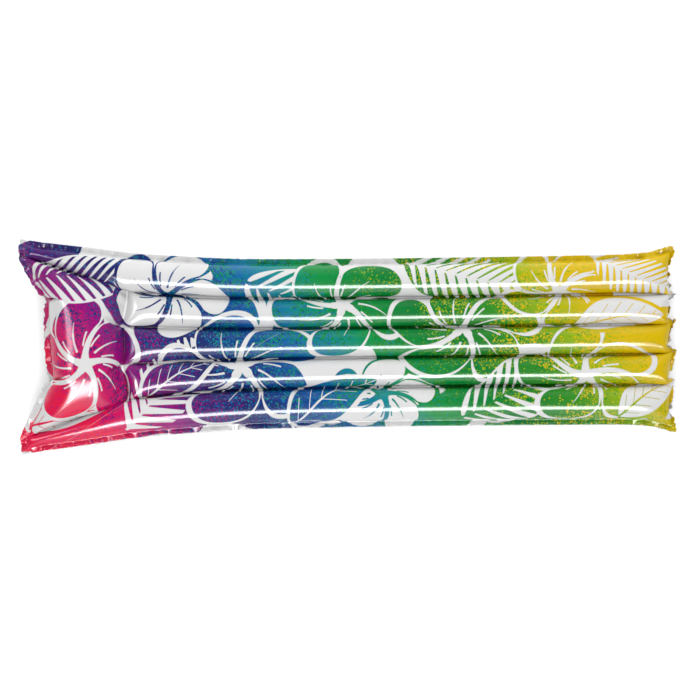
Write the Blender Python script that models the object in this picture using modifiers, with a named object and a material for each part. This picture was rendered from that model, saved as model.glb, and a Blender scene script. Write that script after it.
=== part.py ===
"""Ribbed pool air mattress with a built-in pillow, blown up and lying on its underside.

Two films are welded together round a flat rim and along seams, which divide the
mat into five ribs and a pillow. The outer seams fan out past the pillow to the
corners, so the two outer ribs run on beside it. Two push-in valves are welded
into the lower film: one under the pillow and one under the middle rib's foot end.

Units are metres and +Z is up. The head is at -X and the foot at +X. The origin is
on the floor, under the middle of the mat.
"""

import math

import bmesh
import bpy
from mathutils import Matrix, Vector

# Outline of the blown-up mat. Distances along it start at the head's corner tips.
LENGTH = 1.800
HEAD_HALF = 0.301
WAIST_HALF = 0.237
FOOT_HALF = 0.271
WAIST_START = 0.648
WAIST_EASE = 0.85
FOOT_FLARE = 0.138
FLARE_EASE = 1.8
HEAD_DRAWN_IN = 0.063
DRAWN_IN_EASE = 1.7
SIDE_RIM = 0.016
END_RIM = 0.019

# Seams, by their distance along the mat and from its centre line.
PILLOW_SEAM = 0.280
INNER_NECK = 0.050
INNER_WAIST = 0.042
OUTER_HEAD = 0.247
OUTER_NECK = 0.152
OUTER_WAIST = 0.1245
FAN_EASE = 0.8
SEAM_WIDTH = 0.004

# Crowns of the pillow and the ribs, and how they die away into the welds.
PILLOW_CROWN = 0.076
PILLOW_FULLNESS = 2.5
SIDE_FULLNESS = 6
RIB_RISE = 0.073
RIB_RUN_OUT = 0.105
CORNER_RUN_OUT = 0.125
LEVEL_START = 0.210
LEVEL_END = 0.490

# Film. Real film is 0.25 mm; here it is as thick as a solid shell can be read.
FILM = 0.001
GAP = 0.0003
CONTACT_DEPTH = 0.0005

# Push-in valve, along its own axis. Zero is the outer face of the lower film.
SIDES = 24
VALVE_HOLE = 0.0135
VALVE_SEAT = 0.0210
FLANGE_RADIUS = 0.0190
FLANGE_BORE = 0.0125
FLANGE_THICKNESS = 0.0010
SKIRT_FILM = 0.0006
SKIRT_DEPTH = 0.0080
SKIRT_STEPS = 8
SKIRT_EASE = 0.8
STEM_RADIUS = 0.0060
STEM_BORE = 0.0035
STEM_RIM_RADIUS = 0.0075
STEM_RIM_THICKNESS = 0.0016
STEM_MOUTH = -0.0021
STEM_END = -0.0131
STEM_CHAMFER = 0.0005
LUG_STEP = 0.0001
CAP_RADIUS = 0.0065
CAP_THICKNESS = 0.0015
CAP_EDGE = 0.0004
NOSE_LENGTH = 0.0050
NOSE_RADIUS = 0.00325
NOSE_TIP_RADIUS = 0.0023
NOSE_DRAFT = 0.0001
STRAP_REACH = 0.0102
STRAP_WIDTH = 0.0040
STRAP_THICKNESS = 0.0008
PULL_TAB = 0.0016
FLAP_RADIUS = 0.0048
FLAP_THICKNESS = 0.0005
FLAP_HINGE = 0.0054
FLAP_TAB = 0.0016

# Where the valves sit: along the mat, and across it.
HEAD_VALVE_ALONG = 0.112
HEAD_VALVE_ACROSS = -0.094
FOOT_VALVE_ALONG = 1.739

SILVER = (0.78, 0.78, 0.80, 1.0)
WHITE = (0.90, 0.90, 0.92, 1.0)
CLEAR_WHITE = (0.83, 0.86, 0.90, 1.0)
BLUE = (0.05, 0.18, 0.42, 1.0)

RIBS = 5
OUTER_ANGLES = (-90, -60, -32, -7, 7, 32, 60, 90)
INNER_ANGLES = (-90, -54, -18, 18, 54, 90)
PILLOW_SHARES = (0.08, 0.27, 0.50, 0.73, 0.92)
RIB_ROWS = (0.019, 0.063, 0.167)
FOOT_ROWS = (0.107, 0.044)

# Steps along and round a rib between which the film's slope is read.
SLOPE_STEP = 0.004
SLOPE_TURN = 0.1
SHARP_ANGLE = math.radians(50)


def clear_scene():
    """Removes every object that the scene starts with."""
    for item in list(bpy.data.objects):
        bpy.data.objects.remove(item)


def ease_out(share):
    """Runs from 0 to 1, fast at first, and stays at 1 from there on."""
    return 1 - (1 - min(max(share, 0.0), 1.0)) ** 3


def smooth_step(share):
    """Runs from 0 to 1 with level ends."""
    share = min(max(share, 0.0), 1.0)
    return share * share * (3 - 2 * share)


def round_end(distance, run_out):
    """Share of the full crown at a distance from a weld, rising like a quarter circle."""
    share = min(max(distance / run_out, 0.0), 1.0)
    return math.sqrt(1 - (1 - share) ** 2)


def rim_half(along):
    """Half the mat's width, rim included: wide at the head, a long waist, and a flare at the foot."""
    head = 1 - smooth_step((max(along, 0.0) / WAIST_START) ** WAIST_EASE)
    flare = max(0.0, 1 - (LENGTH - along) / FOOT_FLARE) ** FLARE_EASE
    return WAIST_HALF + (HEAD_HALF - WAIST_HALF) * head + (FOOT_HALF - WAIST_HALF) * flare


def seam_lines(along):
    """Distance from the centre line of the inner seam, the outer seam and the side weld."""
    side = rim_half(along) - SIDE_RIM
    if along < PILLOW_SEAM:
        fan = max(1 - along / PILLOW_SEAM, 0.0) ** FAN_EASE
        return INNER_NECK, OUTER_NECK + (OUTER_HEAD - OUTER_NECK) * fan, side
    fade = 1 - ease_out((along - PILLOW_SEAM) / (WAIST_START - PILLOW_SEAM))
    inner = INNER_WAIST + (INNER_NECK - INNER_WAIST) * fade
    return inner, OUTER_WAIST + (OUTER_NECK - OUTER_WAIST) * fade, side


def weld_level(along):
    """Height of the weld plane: half the pillow's height at the head, half a rib's after it."""
    step = smooth_step((along - LEVEL_START) / (LEVEL_END - LEVEL_START))
    wall = FILM + GAP / 2 - CONTACT_DEPTH
    rib = (WAIST_HALF - SIDE_RIM - OUTER_WAIST - SEAM_WIDTH / 2) / 2
    return wall + PILLOW_CROWN + (rib - PILLOW_CROWN) * step


def rib_span(along, rib):
    """The two edges of a rib across the mat."""
    inner, outer, side = seam_lines(along)
    lines = (-side, -outer, -inner, inner, outer, side)
    low = lines[rib] + (SEAM_WIDTH / 2 if rib > 0 else 0)
    high = lines[rib + 1] - (SEAM_WIDTH / 2 if rib < RIBS - 1 else 0)
    return low, high


def is_outer(rib):
    """Whether a rib is one of the two that run beside the pillow."""
    return rib in (0, RIBS - 1)


def head_share(rib, angle):
    """Where a column of points ends on the head's edge, from -1 to 1 across it."""
    low, high = rib_span(PILLOW_SEAM, rib)
    across = (low + high) / 2 + (high - low) / 2 * math.sin(angle)
    corner = OUTER_HEAD / HEAD_HALF
    if abs(across) <= OUTER_NECK:
        return across / OUTER_NECK * corner
    rest = (abs(across) - OUTER_NECK) / (rim_half(PILLOW_SEAM) - OUTER_NECK)
    return math.copysign(corner + rest * (1 - corner), across)


def bowed(along, share):
    """Where a row runs at a share of the width: the head's rows bow with its drawn-in edge."""
    end_weld = HEAD_DRAWN_IN + END_RIM
    bow = min(max((PILLOW_SEAM - along) / (PILLOW_SEAM - end_weld), 0.0), 1.0)
    return along - HEAD_DRAWN_IN * abs(share) ** DRAWN_IN_EASE * bow


def surface_point(along, rib, angle):
    """Distance along, across and the film's lift off the weld plane, for one column of a row.

    A row is named by its distance along the centre line.
    """
    end_weld = HEAD_DRAWN_IN + END_RIM
    place = bowed(along, head_share(rib, angle))
    low, high = rib_span(place, rib)
    foot = round_end(LENGTH - END_RIM - along, RIB_RUN_OUT)
    if is_outer(rib):
        across = (low + high) / 2 + (high - low) / 2 * math.sin(angle)
        corner = round_end(place - END_RIM, CORNER_RUN_OUT) if along > end_weld else 0.0
        return place, across, (high - low) / 2 * math.cos(angle) * foot * corner
    if along > PILLOW_SEAM:
        across = (low + high) / 2 + (high - low) / 2 * math.sin(angle)
        rise = round_end(along - PILLOW_SEAM - SEAM_WIDTH / 2, RIB_RISE)
        return place, across, (high - low) / 2 * math.cos(angle) * foot * rise
    neck_low, neck_high = rib_span(PILLOW_SEAM, rib)
    reach = OUTER_NECK - SEAM_WIDTH / 2
    neck = ((neck_low + neck_high) / 2 + (neck_high - neck_low) / 2 * math.sin(angle)) / reach
    across = neck * (seam_lines(place)[1] - SEAM_WIDTH / 2)
    seam = PILLOW_SEAM - SEAM_WIDTH / 2
    through = min(max((along - end_weld) / (seam - end_weld), 0.0), 1.0)
    crown = math.sqrt(max(1 - abs(2 * through - 1) ** PILLOW_FULLNESS, 0.0))
    side = math.sqrt(max(1 - abs(neck) ** SIDE_FULLNESS, 0.0))
    return place, across, PILLOW_CROWN * crown * side


def columns():
    """Rib and angle of every column of points, from one side weld to the other."""
    found = []
    for rib in range(RIBS):
        angles = OUTER_ANGLES if is_outer(rib) else INNER_ANGLES
        found += [(rib, math.radians(angle)) for angle in angles]
    return found


def rows():
    """Distance along the centre line of every row of points, from head to foot."""
    end_weld = HEAD_DRAWN_IN + END_RIM
    seam = PILLOW_SEAM - SEAM_WIDTH / 2
    pillow = [end_weld + share * (seam - end_weld) for share in PILLOW_SHARES]
    ribs = [PILLOW_SEAM + SEAM_WIDTH / 2 + step for step in RIB_ROWS]
    foot = [LENGTH - step for step in FOOT_ROWS]
    ends = [LENGTH - END_RIM, LENGTH]
    start = [HEAD_DRAWN_IN, end_weld]
    middle = [seam, PILLOW_SEAM + SEAM_WIDTH / 2]
    return start + pillow + middle + ribs + [WAIST_START] + foot + ends


def film_points(side):
    """Rows of points on the outer face of one film: side is 1 for the top, -1 for the bottom."""
    grid = []
    for along in rows():
        line = []
        for rib, angle in columns():
            place, across, lift = surface_point(along, rib, angle)
            height = weld_level(place) + side * (GAP / 2 + FILM + lift)
            line.append(Vector((place - LENGTH / 2, across, max(height, 0.0))))
        tip = bowed(along, 1.0)
        for weld, sign in ((0, -1), (-1, 1)):
            edge = Vector((tip - LENGTH / 2, sign * rim_half(tip), line[weld].z))
            line.insert(0 if sign < 0 else len(line), edge)
        grid.append(line)
    return grid


def lower_film_place(along, rib, angle):
    """A point on the lower film's outer face and the outward normal there."""
    def at(move_along, move_angle):
        place, across, lift = surface_point(along + move_along, rib, angle + move_angle)
        return Vector((place - LENGTH / 2, across, weld_level(place) - GAP / 2 - FILM - lift))

    along_slope = at(SLOPE_STEP, 0) - at(-SLOPE_STEP, 0)
    round_slope = at(0, SLOPE_TURN) - at(0, -SLOPE_TURN)
    normal = along_slope.cross(round_slope).normalized()
    return at(0, 0), -normal if normal.z > 0 else normal


def pillow_angle(across):
    """The angle, in the second rib, of the line that crosses the pillow under the head valve."""
    low, high = rib_span(PILLOW_SEAM, 1)
    reach = OUTER_NECK / seam_lines(HEAD_VALVE_ALONG)[1]
    sine = (across * reach - (low + high) / 2) / ((high - low) / 2)
    return math.asin(min(max(sine, -1.0), 1.0))


def cells_under(along, across):
    """Ranges of the rows and columns of the film's cells that a valve's seat cuts."""
    places = rows()
    lines = [surface_point(along, rib, angle)[1] for rib, angle in columns()]
    first_row = max(index for index, place in enumerate(places) if place < along - VALVE_SEAT)
    last_row = min(index for index, place in enumerate(places) if place > along + VALVE_SEAT)
    first_line = max(index for index, line in enumerate(lines) if line < across - VALVE_SEAT)
    last_line = min(index for index, line in enumerate(lines) if line > across + VALVE_SEAT)
    return range(first_row, last_row), range(first_line + 1, last_line + 1)


def collection_named(name):
    """A new collection in the scene."""
    made = bpy.data.collections.new(name)
    bpy.context.scene.collection.children.link(made)
    return made


def material_named(name, colour, roughness, transmission=0.0):
    """A Principled BSDF material for one sub-part."""
    material = bpy.data.materials.new(name)
    material.use_nodes = True
    shader = material.node_tree.nodes["Principled BSDF"]
    shader.inputs["Base Color"].default_value = colour
    shader.inputs["Roughness"].default_value = roughness
    shader.inputs["Metallic"].default_value = 0.0
    shader.inputs["Transmission Weight"].default_value = transmission
    return material


def object_from(name, mesh, home, material):
    """Links a mesh as a smooth, sharp-edged object with its own material."""
    made = bpy.data.objects.new(name, mesh)
    home.objects.link(made)
    made.data.materials.append(material)
    mesh.shade_smooth()
    mesh.set_sharp_from_angle(angle=SHARP_ANGLE)
    return made


def film_mesh(name, side, seats=()):
    """The open outer face of one film, with a flat round seat and a hole for each valve."""
    mesh = bpy.data.meshes.new(name)
    shape = bmesh.new()
    grid = [[shape.verts.new(point) for point in line] for line in film_points(side)]
    faces = {}
    for row in range(len(grid) - 1):
        for column in range(len(grid[0]) - 1):
            corners = (
                grid[row][column],
                grid[row + 1][column],
                grid[row + 1][column + 1],
                grid[row][column + 1],
            )
            faces[row, column] = shape.faces.new(corners if side > 0 else corners[::-1])
    for seat in seats:
        sink_seat(shape, faces, seat)
    bmesh.ops.recalc_face_normals(shape, faces=shape.faces[:])
    facing = sum(face.normal.z * face.calc_area() for face in shape.faces)
    if facing * side < 0:
        bmesh.ops.reverse_faces(shape, faces=shape.faces[:])
    shape.to_mesh(mesh)
    shape.free()
    return mesh


def sink_seat(shape, faces, seat):
    """Replaces a window of the film with a flat ring round a valve's hole."""
    frame, row_range, column_range = seat
    window = [faces[row, column] for row in row_range for column in column_range]
    inside = set(window)
    border = [
        edge
        for edge in {edge for face in window for edge in face.edges}
        if sum(face in inside for face in edge.link_faces) == 1
    ]
    bmesh.ops.delete(shape, geom=window, context="FACES")
    rings = []
    for radius in (VALVE_SEAT, VALVE_HOLE):
        turned = [2 * math.pi * step / SIDES for step in range(SIDES)]
        ring = [
            shape.verts.new(frame @ Vector((radius * math.cos(a), radius * math.sin(a), 0)))
            for a in turned
        ]
        rings.append(ring)
    outer, inner = rings
    for step in range(SIDES):
        following = (step + 1) % SIDES
        shape.faces.new((outer[step], outer[following], inner[following], inner[step]))
    loop = [shape.edges.get((outer[step], outer[(step + 1) % SIDES])) for step in range(SIDES)]
    bmesh.ops.triangle_fill(shape, use_beauty=True, edges=border + loop)
    loose = [vert for vert in shape.verts if not vert.link_faces]
    bmesh.ops.delete(shape, geom=loose, context="VERTS")


def make_film(name, side, home, material, seats=()):
    """One film: its outer face, thickened inwards."""
    made = object_from(name, film_mesh(name, side, seats), home, material)
    wall = made.modifiers.new("film", "SOLIDIFY")
    wall.thickness = FILM
    wall.offset = -1
    wall.use_even_offset = True
    wall.use_rim = True
    return made


def turned(name, profile, home, material, closed=True):
    """A profile of (radius, height) points turned about Z. A closed one makes a ring."""
    mesh = bpy.data.meshes.new(name)
    count = len(profile)
    edges = [(step, step + 1) for step in range(count - 1)]
    if closed and profile[0][0] > 0:
        edges.append((count - 1, 0))
    mesh.from_pydata([(radius, 0, height) for radius, height in profile], edges, [])
    made = bpy.data.objects.new(name, mesh)
    home.objects.link(made)
    made.data.materials.append(material)
    screw = made.modifiers.new("turn", "SCREW")
    screw.axis = "Z"
    screw.steps = SIDES
    screw.render_steps = SIDES
    screw.use_merge_vertices = True
    screw.merge_threshold = 0.00001
    screw.use_normal_calculate = False
    return made


def box(name, low, high, home, material=None):
    """A box between two corners of its own frame."""
    mesh = bpy.data.meshes.new(name)
    shape = bmesh.new()
    low, high = Vector(low), Vector(high)
    place = Matrix.Translation((low + high) / 2) @ Matrix.Diagonal((*(high - low), 1))
    bmesh.ops.create_cube(shape, size=1, matrix=place)
    shape.to_mesh(mesh)
    shape.free()
    made = bpy.data.objects.new(name, mesh)
    home.objects.link(made)
    if material:
        made.data.materials.append(material)
    return made


def join_shape(made, extra, place=(0, 0, 0)):
    """Adds a guide shape to a piece with a Boolean union."""
    extra.hide_render = True
    extra.display_type = "WIRE"
    hold(extra, made, place)
    union = made.modifiers.new(extra.name, "BOOLEAN")
    union.operation = "UNION"
    union.solver = "EXACT"
    union.object = extra


def hold(child, parent, place=(0, 0, 0)):
    """Parents a piece to a seat or a piece, at a place in its parent's frame."""
    child.parent = parent
    child.location = place


def valve_flange(prefix, home, seat):
    """The stiff ring that is welded to the inside of the film round the hole."""
    top = -FILM - GAP
    bottom = top - FLANGE_THICKNESS
    profile = [
        (FLANGE_RADIUS, top),
        (FLANGE_RADIUS, bottom),
        (FLANGE_BORE, bottom),
        (FLANGE_BORE, top),
    ]
    material = material_named(prefix + "_flange", CLEAR_WHITE, 0.35, 0.2)
    made = turned(prefix + "_flange", profile, home, material)
    hold(made, seat)


def valve_skirt(prefix, home, seat):
    """The soft funnel that joins flange and stem, and turns inside out as the stem comes out."""
    top = -FILM - GAP - FLANGE_THICKNESS / 2
    outer = FLANGE_BORE - GAP
    inner = STEM_RADIUS + GAP
    points = []
    for step in range(SKIRT_STEPS):
        share = step / (SKIRT_STEPS - 1)
        radius = inner + (outer - inner) * math.cos(share * math.pi / 2) ** SKIRT_EASE
        points.append((radius, top - SKIRT_DEPTH * math.sin(share * math.pi / 2)))
    material = material_named(prefix + "_skirt", CLEAR_WHITE, 0.4, 0.3)
    made = turned(prefix + "_skirt", points, home, material, closed=False)
    wall = made.modifiers.new("skirt", "SOLIDIFY")
    wall.thickness = SKIRT_FILM
    wall.offset = 0
    hold(made, seat)


def valve_stem(prefix, home, guides, seat):
    """The tube that carries the air, with its rim and the lug that the strap grows from."""
    under_rim = STEM_MOUTH - STEM_RIM_THICKNESS
    profile = [
        (STEM_BORE + STEM_CHAMFER, STEM_MOUTH),
        (STEM_RIM_RADIUS, STEM_MOUTH),
        (STEM_RIM_RADIUS, under_rim),
        (STEM_RADIUS, under_rim - STEM_CHAMFER),
        (STEM_RADIUS, STEM_END),
        (STEM_BORE, STEM_END),
        (STEM_BORE, STEM_MOUTH - STEM_CHAMFER),
    ]
    material = material_named(prefix + "_stem", WHITE, 0.35)
    made = turned(prefix + "_stem", profile, home, material)
    low = (-STRAP_REACH - STRAP_THICKNESS, -STRAP_WIDTH / 2, under_rim + STEM_CHAMFER)
    high = (-(STEM_BORE + STEM_RADIUS) / 2, STRAP_WIDTH / 2, STEM_MOUTH - LUG_STEP)
    join_shape(made, box(prefix + "_stem_lug", low, high, guides))
    hold(made, seat)
    return made


def valve_stopper(prefix, home, guides, stem):
    """The cap with its tapered nose and pull tab, on a strap. Its origin is on the strap's bend."""
    under = STEM_MOUTH + GAP
    bend = under + STRAP_THICKNESS / 2
    tip = STEM_MOUTH - NOSE_LENGTH
    profile = [
        (0, under + CAP_THICKNESS),
        (CAP_RADIUS - CAP_EDGE, under + CAP_THICKNESS),
        (CAP_RADIUS, under + CAP_THICKNESS - CAP_EDGE),
        (CAP_RADIUS, under),
        (NOSE_RADIUS, under),
        (NOSE_RADIUS - NOSE_DRAFT, STEM_MOUTH - NOSE_LENGTH / 2),
        (NOSE_TIP_RADIUS, tip + CAP_EDGE),
        (NOSE_TIP_RADIUS - CAP_EDGE, tip),
        (0, tip),
    ]
    material = material_named(prefix + "_stopper", BLUE, 0.35)
    half = STRAP_WIDTH / 2
    low = (-STRAP_THICKNESS / 2, -half, -STRAP_THICKNESS / 2)
    high = (STRAP_REACH + CAP_RADIUS + PULL_TAB, half, STRAP_THICKNESS / 2)
    made = box(prefix + "_stopper", low, high, home, material)
    plug = turned(prefix + "_plug", profile, guides, material, closed=False)
    join_shape(made, plug, (STRAP_REACH, 0, -bend))
    hold(made, stem, (-STRAP_REACH, 0, bend))


def valve_flap(prefix, home, guides, stem):
    """The check flap that the air pushes open. Its origin is on its hinge line."""
    middle = STEM_END - GAP - FLAP_THICKNESS / 2
    half = FLAP_THICKNESS / 2
    material = material_named(prefix + "_flap", CLEAR_WHITE, 0.4, 0.3)
    made = box(prefix + "_flap", (-half, -FLAP_TAB, -half), (FLAP_HINGE, FLAP_TAB, half), home, material)
    disc = [(0, half), (FLAP_RADIUS, half), (FLAP_RADIUS, -half), (0, -half)]
    join_shape(made, turned(prefix + "_disc", disc, guides, material, closed=False), (FLAP_HINGE, 0, 0))
    hold(made, stem, (-FLAP_HINGE, 0, middle))


def valve(prefix, place, outward, strap_side, home, guides):
    """One push-in valve, pushed in and stopped, on a seat whose +Z points out of the mat."""
    seat = bpy.data.objects.new(prefix + "_seat", None)
    home.objects.link(seat)
    across = outward.cross(strap_side).normalized()
    along = across.cross(outward)
    turn = Matrix((along, across, outward)).transposed()
    seat.matrix_world = Matrix.Translation(place) @ turn.to_4x4()
    valve_flange(prefix, home, seat)
    valve_skirt(prefix, home, seat)
    stem = valve_stem(prefix, home, guides, seat)
    valve_stopper(prefix, home, guides, stem)
    valve_flap(prefix, home, guides, stem)
    return seat.matrix_world.copy()


def main():
    """Builds the mat: two valves, the lower film with their seats, and the upper film."""
    clear_scene()
    home = collection_named("pool_air_mattress")
    guides = collection_named("cutters")
    head_angle = pillow_angle(HEAD_VALVE_ACROSS)
    head_place, head_out = lower_film_place(HEAD_VALVE_ALONG, 1, head_angle)
    foot_place, foot_out = lower_film_place(FOOT_VALVE_ALONG, RIBS // 2, 0.0)
    head_seat = valve("head_valve", head_place, head_out, Vector((0, 1, 0)), home, guides)
    foot_seat = valve("foot_valve", foot_place, foot_out, Vector((0, 1, 0)), home, guides)
    seats = (
        (head_seat, *cells_under(HEAD_VALVE_ALONG, HEAD_VALVE_ACROSS)),
        (foot_seat, *cells_under(FOOT_VALVE_ALONG, 0.0)),
    )
    silver = material_named("lower_film", SILVER, 0.25)
    printed = material_named("upper_film", WHITE, 0.25)
    make_film("bottom_sheet", -1, home, silver, seats)
    make_film("top_sheet", 1, home, printed)


main()
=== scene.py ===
"""Dresses the pool air mattress: blown-up welded films, a printed top and two push-in valves.

The two films are cut flat, welded along the rim and the seams, and blown up here by
dynamic relaxation: every thread of the film pulls back to its cut length while the air
pushes on every free cell, until both balance. That gives the ribs, the pillow, the
drawn-in head edge and the creases by the welds, instead of shapes drawn by hand.
"""

import logging
import math
from dataclasses import dataclass, field
from enum import Enum, IntEnum
from functools import partialmethod
from typing import Any

import bmesh
import bpy
import numpy as np
from bpy.types import Material, Mesh, Node, NodeSocket, NodeTree, Object
from mathutils import Matrix, Vector


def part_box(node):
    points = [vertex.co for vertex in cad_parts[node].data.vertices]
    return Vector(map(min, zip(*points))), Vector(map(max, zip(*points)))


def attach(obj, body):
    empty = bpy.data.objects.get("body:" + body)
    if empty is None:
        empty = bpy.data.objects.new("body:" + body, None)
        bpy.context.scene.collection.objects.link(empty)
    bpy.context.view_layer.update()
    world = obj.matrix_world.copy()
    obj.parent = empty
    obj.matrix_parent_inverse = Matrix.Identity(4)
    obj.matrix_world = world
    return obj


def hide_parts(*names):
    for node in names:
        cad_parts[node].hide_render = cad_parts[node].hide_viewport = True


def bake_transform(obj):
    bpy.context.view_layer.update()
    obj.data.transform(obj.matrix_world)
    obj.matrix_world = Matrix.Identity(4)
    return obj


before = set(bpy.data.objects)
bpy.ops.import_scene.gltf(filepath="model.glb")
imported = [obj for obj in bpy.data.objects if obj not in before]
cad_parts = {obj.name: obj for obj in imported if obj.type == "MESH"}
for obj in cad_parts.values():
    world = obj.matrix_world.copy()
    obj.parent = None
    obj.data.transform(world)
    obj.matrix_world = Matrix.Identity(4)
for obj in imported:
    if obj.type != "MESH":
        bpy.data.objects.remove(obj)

log = logging.getLogger("mattress")

PIXELS = 696
RIM_PARTS = 3
RIM_CENTRE = 3

STRAP_SEGMENTS = 8
BRIM_SEGMENTS = 2
STRAP_SOFT = 0.22

# What a Map Range node calls the ends of its two spans.
SPANS = ("From Min", "From Max", "To Min", "To Max")

Array = np.ndarray
Spot = tuple[float, float, float]
Family = dict[str, np.ndarray]
Outline = tuple[tuple[float, float], ...]
Strap = tuple[Spot, Spot, float]

EVERY, UP, DOWN = slice(None), slice(1, None), slice(None, -1)
# The four families of threads in a film, and where both ends of each one's threads lie.
THREADS = {
    "along": ((UP, EVERY), (DOWN, EVERY)),
    "across": ((EVERY, UP), (EVERY, DOWN)),
    "rising": ((UP, UP), (DOWN, DOWN)),
    "falling": ((UP, DOWN), (DOWN, UP)),
}


def linear(code: str) -> tuple[float, float, float, float]:
    """Turns an sRGB hex colour to linear.

    Args:
        code: Six hex digits after a hash.

    Returns:
        Linear red, green and blue, and an alpha of 1.
    """
    parts = [int(code[place : place + 2], 16) / 255 for place in (1, 3, 5)]
    bent = [part / 12.92 if part <= 0.04045 else ((part + 0.055) / 1.055) ** 2.4 for part in parts]
    return (*bent, 1.0)


def add_node(tree: NodeTree, kind: str, links: dict[int | str, Any] | None = None, **settings: Any) -> Node:
    """Adds a node, sets its properties, and links or sets its inputs.

    Args:
        tree: Tree that gets the node.
        kind: Blender's name for the node type.
        links: For each input, by number or name, what to link (a term, a socket, or a node for its
            first output) or a plain value.
        settings: Properties of the node itself.

    Returns:
        The new node.
    """
    node = tree.nodes.new(kind)
    for name, value in settings.items():
        setattr(node, name, value)
    for key, value in (links or {}).items():
        value = value.outputs[0] if isinstance(value, Node) else getattr(value, "socket", value)
        if isinstance(value, NodeSocket):
            tree.links.new(value, node.inputs[key])
        else:
            node.inputs[key].default_value = value
    return node


class Term:
    """A number that a node tree works out."""

    def __init__(self, source: Node | NodeSocket) -> None:
        """Holds a socket, or a node's first output."""
        self.socket = source.outputs[0] if isinstance(source, Node) else source

    def work(self, operation: str, *others: "Term | float") -> "Term":
        """Works out an operation, by Blender's name for it, of this number and others."""
        inputs = dict(enumerate((self, *others)))
        return Term(add_node(self.socket.id_data, "ShaderNodeMath", inputs, operation=operation))

    # Python's own signs and the named operations, each of them one node.
    __add__ = partialmethod(work, "ADD")
    __sub__ = partialmethod(work, "SUBTRACT")
    __rsub__ = partialmethod(work, "MULTIPLY_ADD", -1.0)
    __mul__ = partialmethod(work, "MULTIPLY")
    __truediv__ = partialmethod(work, "DIVIDE")
    __pow__ = partialmethod(work, "POWER")
    __abs__ = partialmethod(work, "ABSOLUTE")
    most = partialmethod(work, "MAXIMUM")
    over = partialmethod(work, "GREATER_THAN")

    def within(self, low: float, high: float) -> "Term":
        """1 where this is between two numbers, else 0."""
        return self.over(low) * (high - self).over(0.0)

    def held(self) -> "Term":
        """This, kept between 0 and 1."""
        return self.most(0.0).work("MINIMUM", 1.0)

    def edge(self, soft: float) -> "Term":
        """1 where this is above zero and 0 below, with a slope this wide between them."""
        slope = {"Value": self, "From Min": -soft / 2, "From Max": soft / 2}
        return Term(add_node(self.socket.id_data, "ShaderNodeMapRange", slope))


def start_tree(name: str, inputs: dict[str, int | float]) -> tuple[NodeTree, dict[str, NodeSocket]]:
    """Starts a Geometry Nodes tree that takes a drawn mesh, numbers and a finish.

    Args:
        name: The tree's name.
        inputs: The names and first values of its numbers.

    Returns:
        The tree, and what its inputs give by name.
    """
    tree = bpy.data.node_groups.new(name, "GeometryNodeTree")
    add_socket = tree.interface.new_socket
    add_socket("Drawn", in_out="INPUT", socket_type="NodeSocketGeometry")
    for title, value in inputs.items():
        kind = "NodeSocketInt" if isinstance(value, int) else "NodeSocketFloat"
        add_socket(title, in_out="INPUT", socket_type=kind).default_value = value
    add_socket("Finish", in_out="INPUT", socket_type="NodeSocketMaterial")
    add_socket("Made", in_out="OUTPUT", socket_type="NodeSocketGeometry")
    return tree, {socket.name: socket for socket in add_node(tree, "NodeGroupInput").outputs}


def finish_tree(tree: NodeTree, shape: Node, finish: NodeSocket) -> None:
    """Ends a tree with real geometry and its finish.

    Args:
        tree: The tree.
        shape: Node whose first output is the shape.
        finish: The material to set.
    """
    real = add_node(tree, "GeometryNodeRealizeInstances", {0: shape})
    dressed = add_node(tree, "GeometryNodeSetMaterial", {"Geometry": real, "Material": finish})
    add_node(tree, "NodeGroupOutput", {0: dressed})


def grow(tree: NodeTree, drawn: Mesh, values: dict[str, Any]) -> Mesh:
    """Runs a tree on a drawn mesh.

    Args:
        tree: The tree.
        drawn: What its first input takes.
        values: The inputs to set, by their names.

    Returns:
        The plain mesh that it makes.
    """
    carrier = put(f"{drawn.name}_carrier", drawn)
    modifier = carrier.modifiers.new("shape", "NODES")
    modifier.node_group = tree
    for item in tree.interface.items_tree:
        if item.in_out == "INPUT" and item.name in values:
            modifier[item.identifier] = values[item.name]
    ready = carrier.evaluated_get(bpy.context.evaluated_depsgraph_get())
    mesh = bpy.data.meshes.new_from_object(ready)
    carrier.modifiers.remove(modifier)
    bpy.data.objects.remove(carrier)
    return mesh


def put(name: str, data: bpy.types.ID) -> Object:
    """Puts a mesh, lamp or camera in the scene, at the origin.

    Args:
        name: The object's name.
        data: What it shows.

    Returns:
        The object.
    """
    data.name = name
    made = bpy.data.objects.new(name, data)
    bpy.context.scene.collection.objects.link(made)
    return made


def plain_mesh(name: str, shape: bmesh.types.BMesh) -> Mesh:
    """Turns a shape to a mesh and frees it.

    Args:
        name: The mesh's name.
        shape: The shape.

    Returns:
        The mesh.
    """
    mesh = bpy.data.meshes.new(name)
    shape.to_mesh(mesh)
    shape.free()
    return mesh


def smooth(share: Array | float) -> Array:
    """Runs from 0 to 1 with level ends."""
    held = np.clip(share, 0.0, 1.0)
    return held * held * (3 - 2 * held)


class Side(IntEnum):
    """The two films of the mat."""

    TOP = 0
    BOTTOM = 1

    @property
    def sign(self) -> int:
        """Which way the film faces along Z."""
        return 1 if self is Side.TOP else -1


class Mark(IntEnum):
    """The list of columns at the welds' edges: where the near rim ends, and where the others start."""

    NEAR_RIM = 1
    NEAR_OUTER = 2
    NEAR_INNER = 4
    FAR_INNER = 6
    FAR_OUTER = 8
    FAR_RIM = 10


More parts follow.
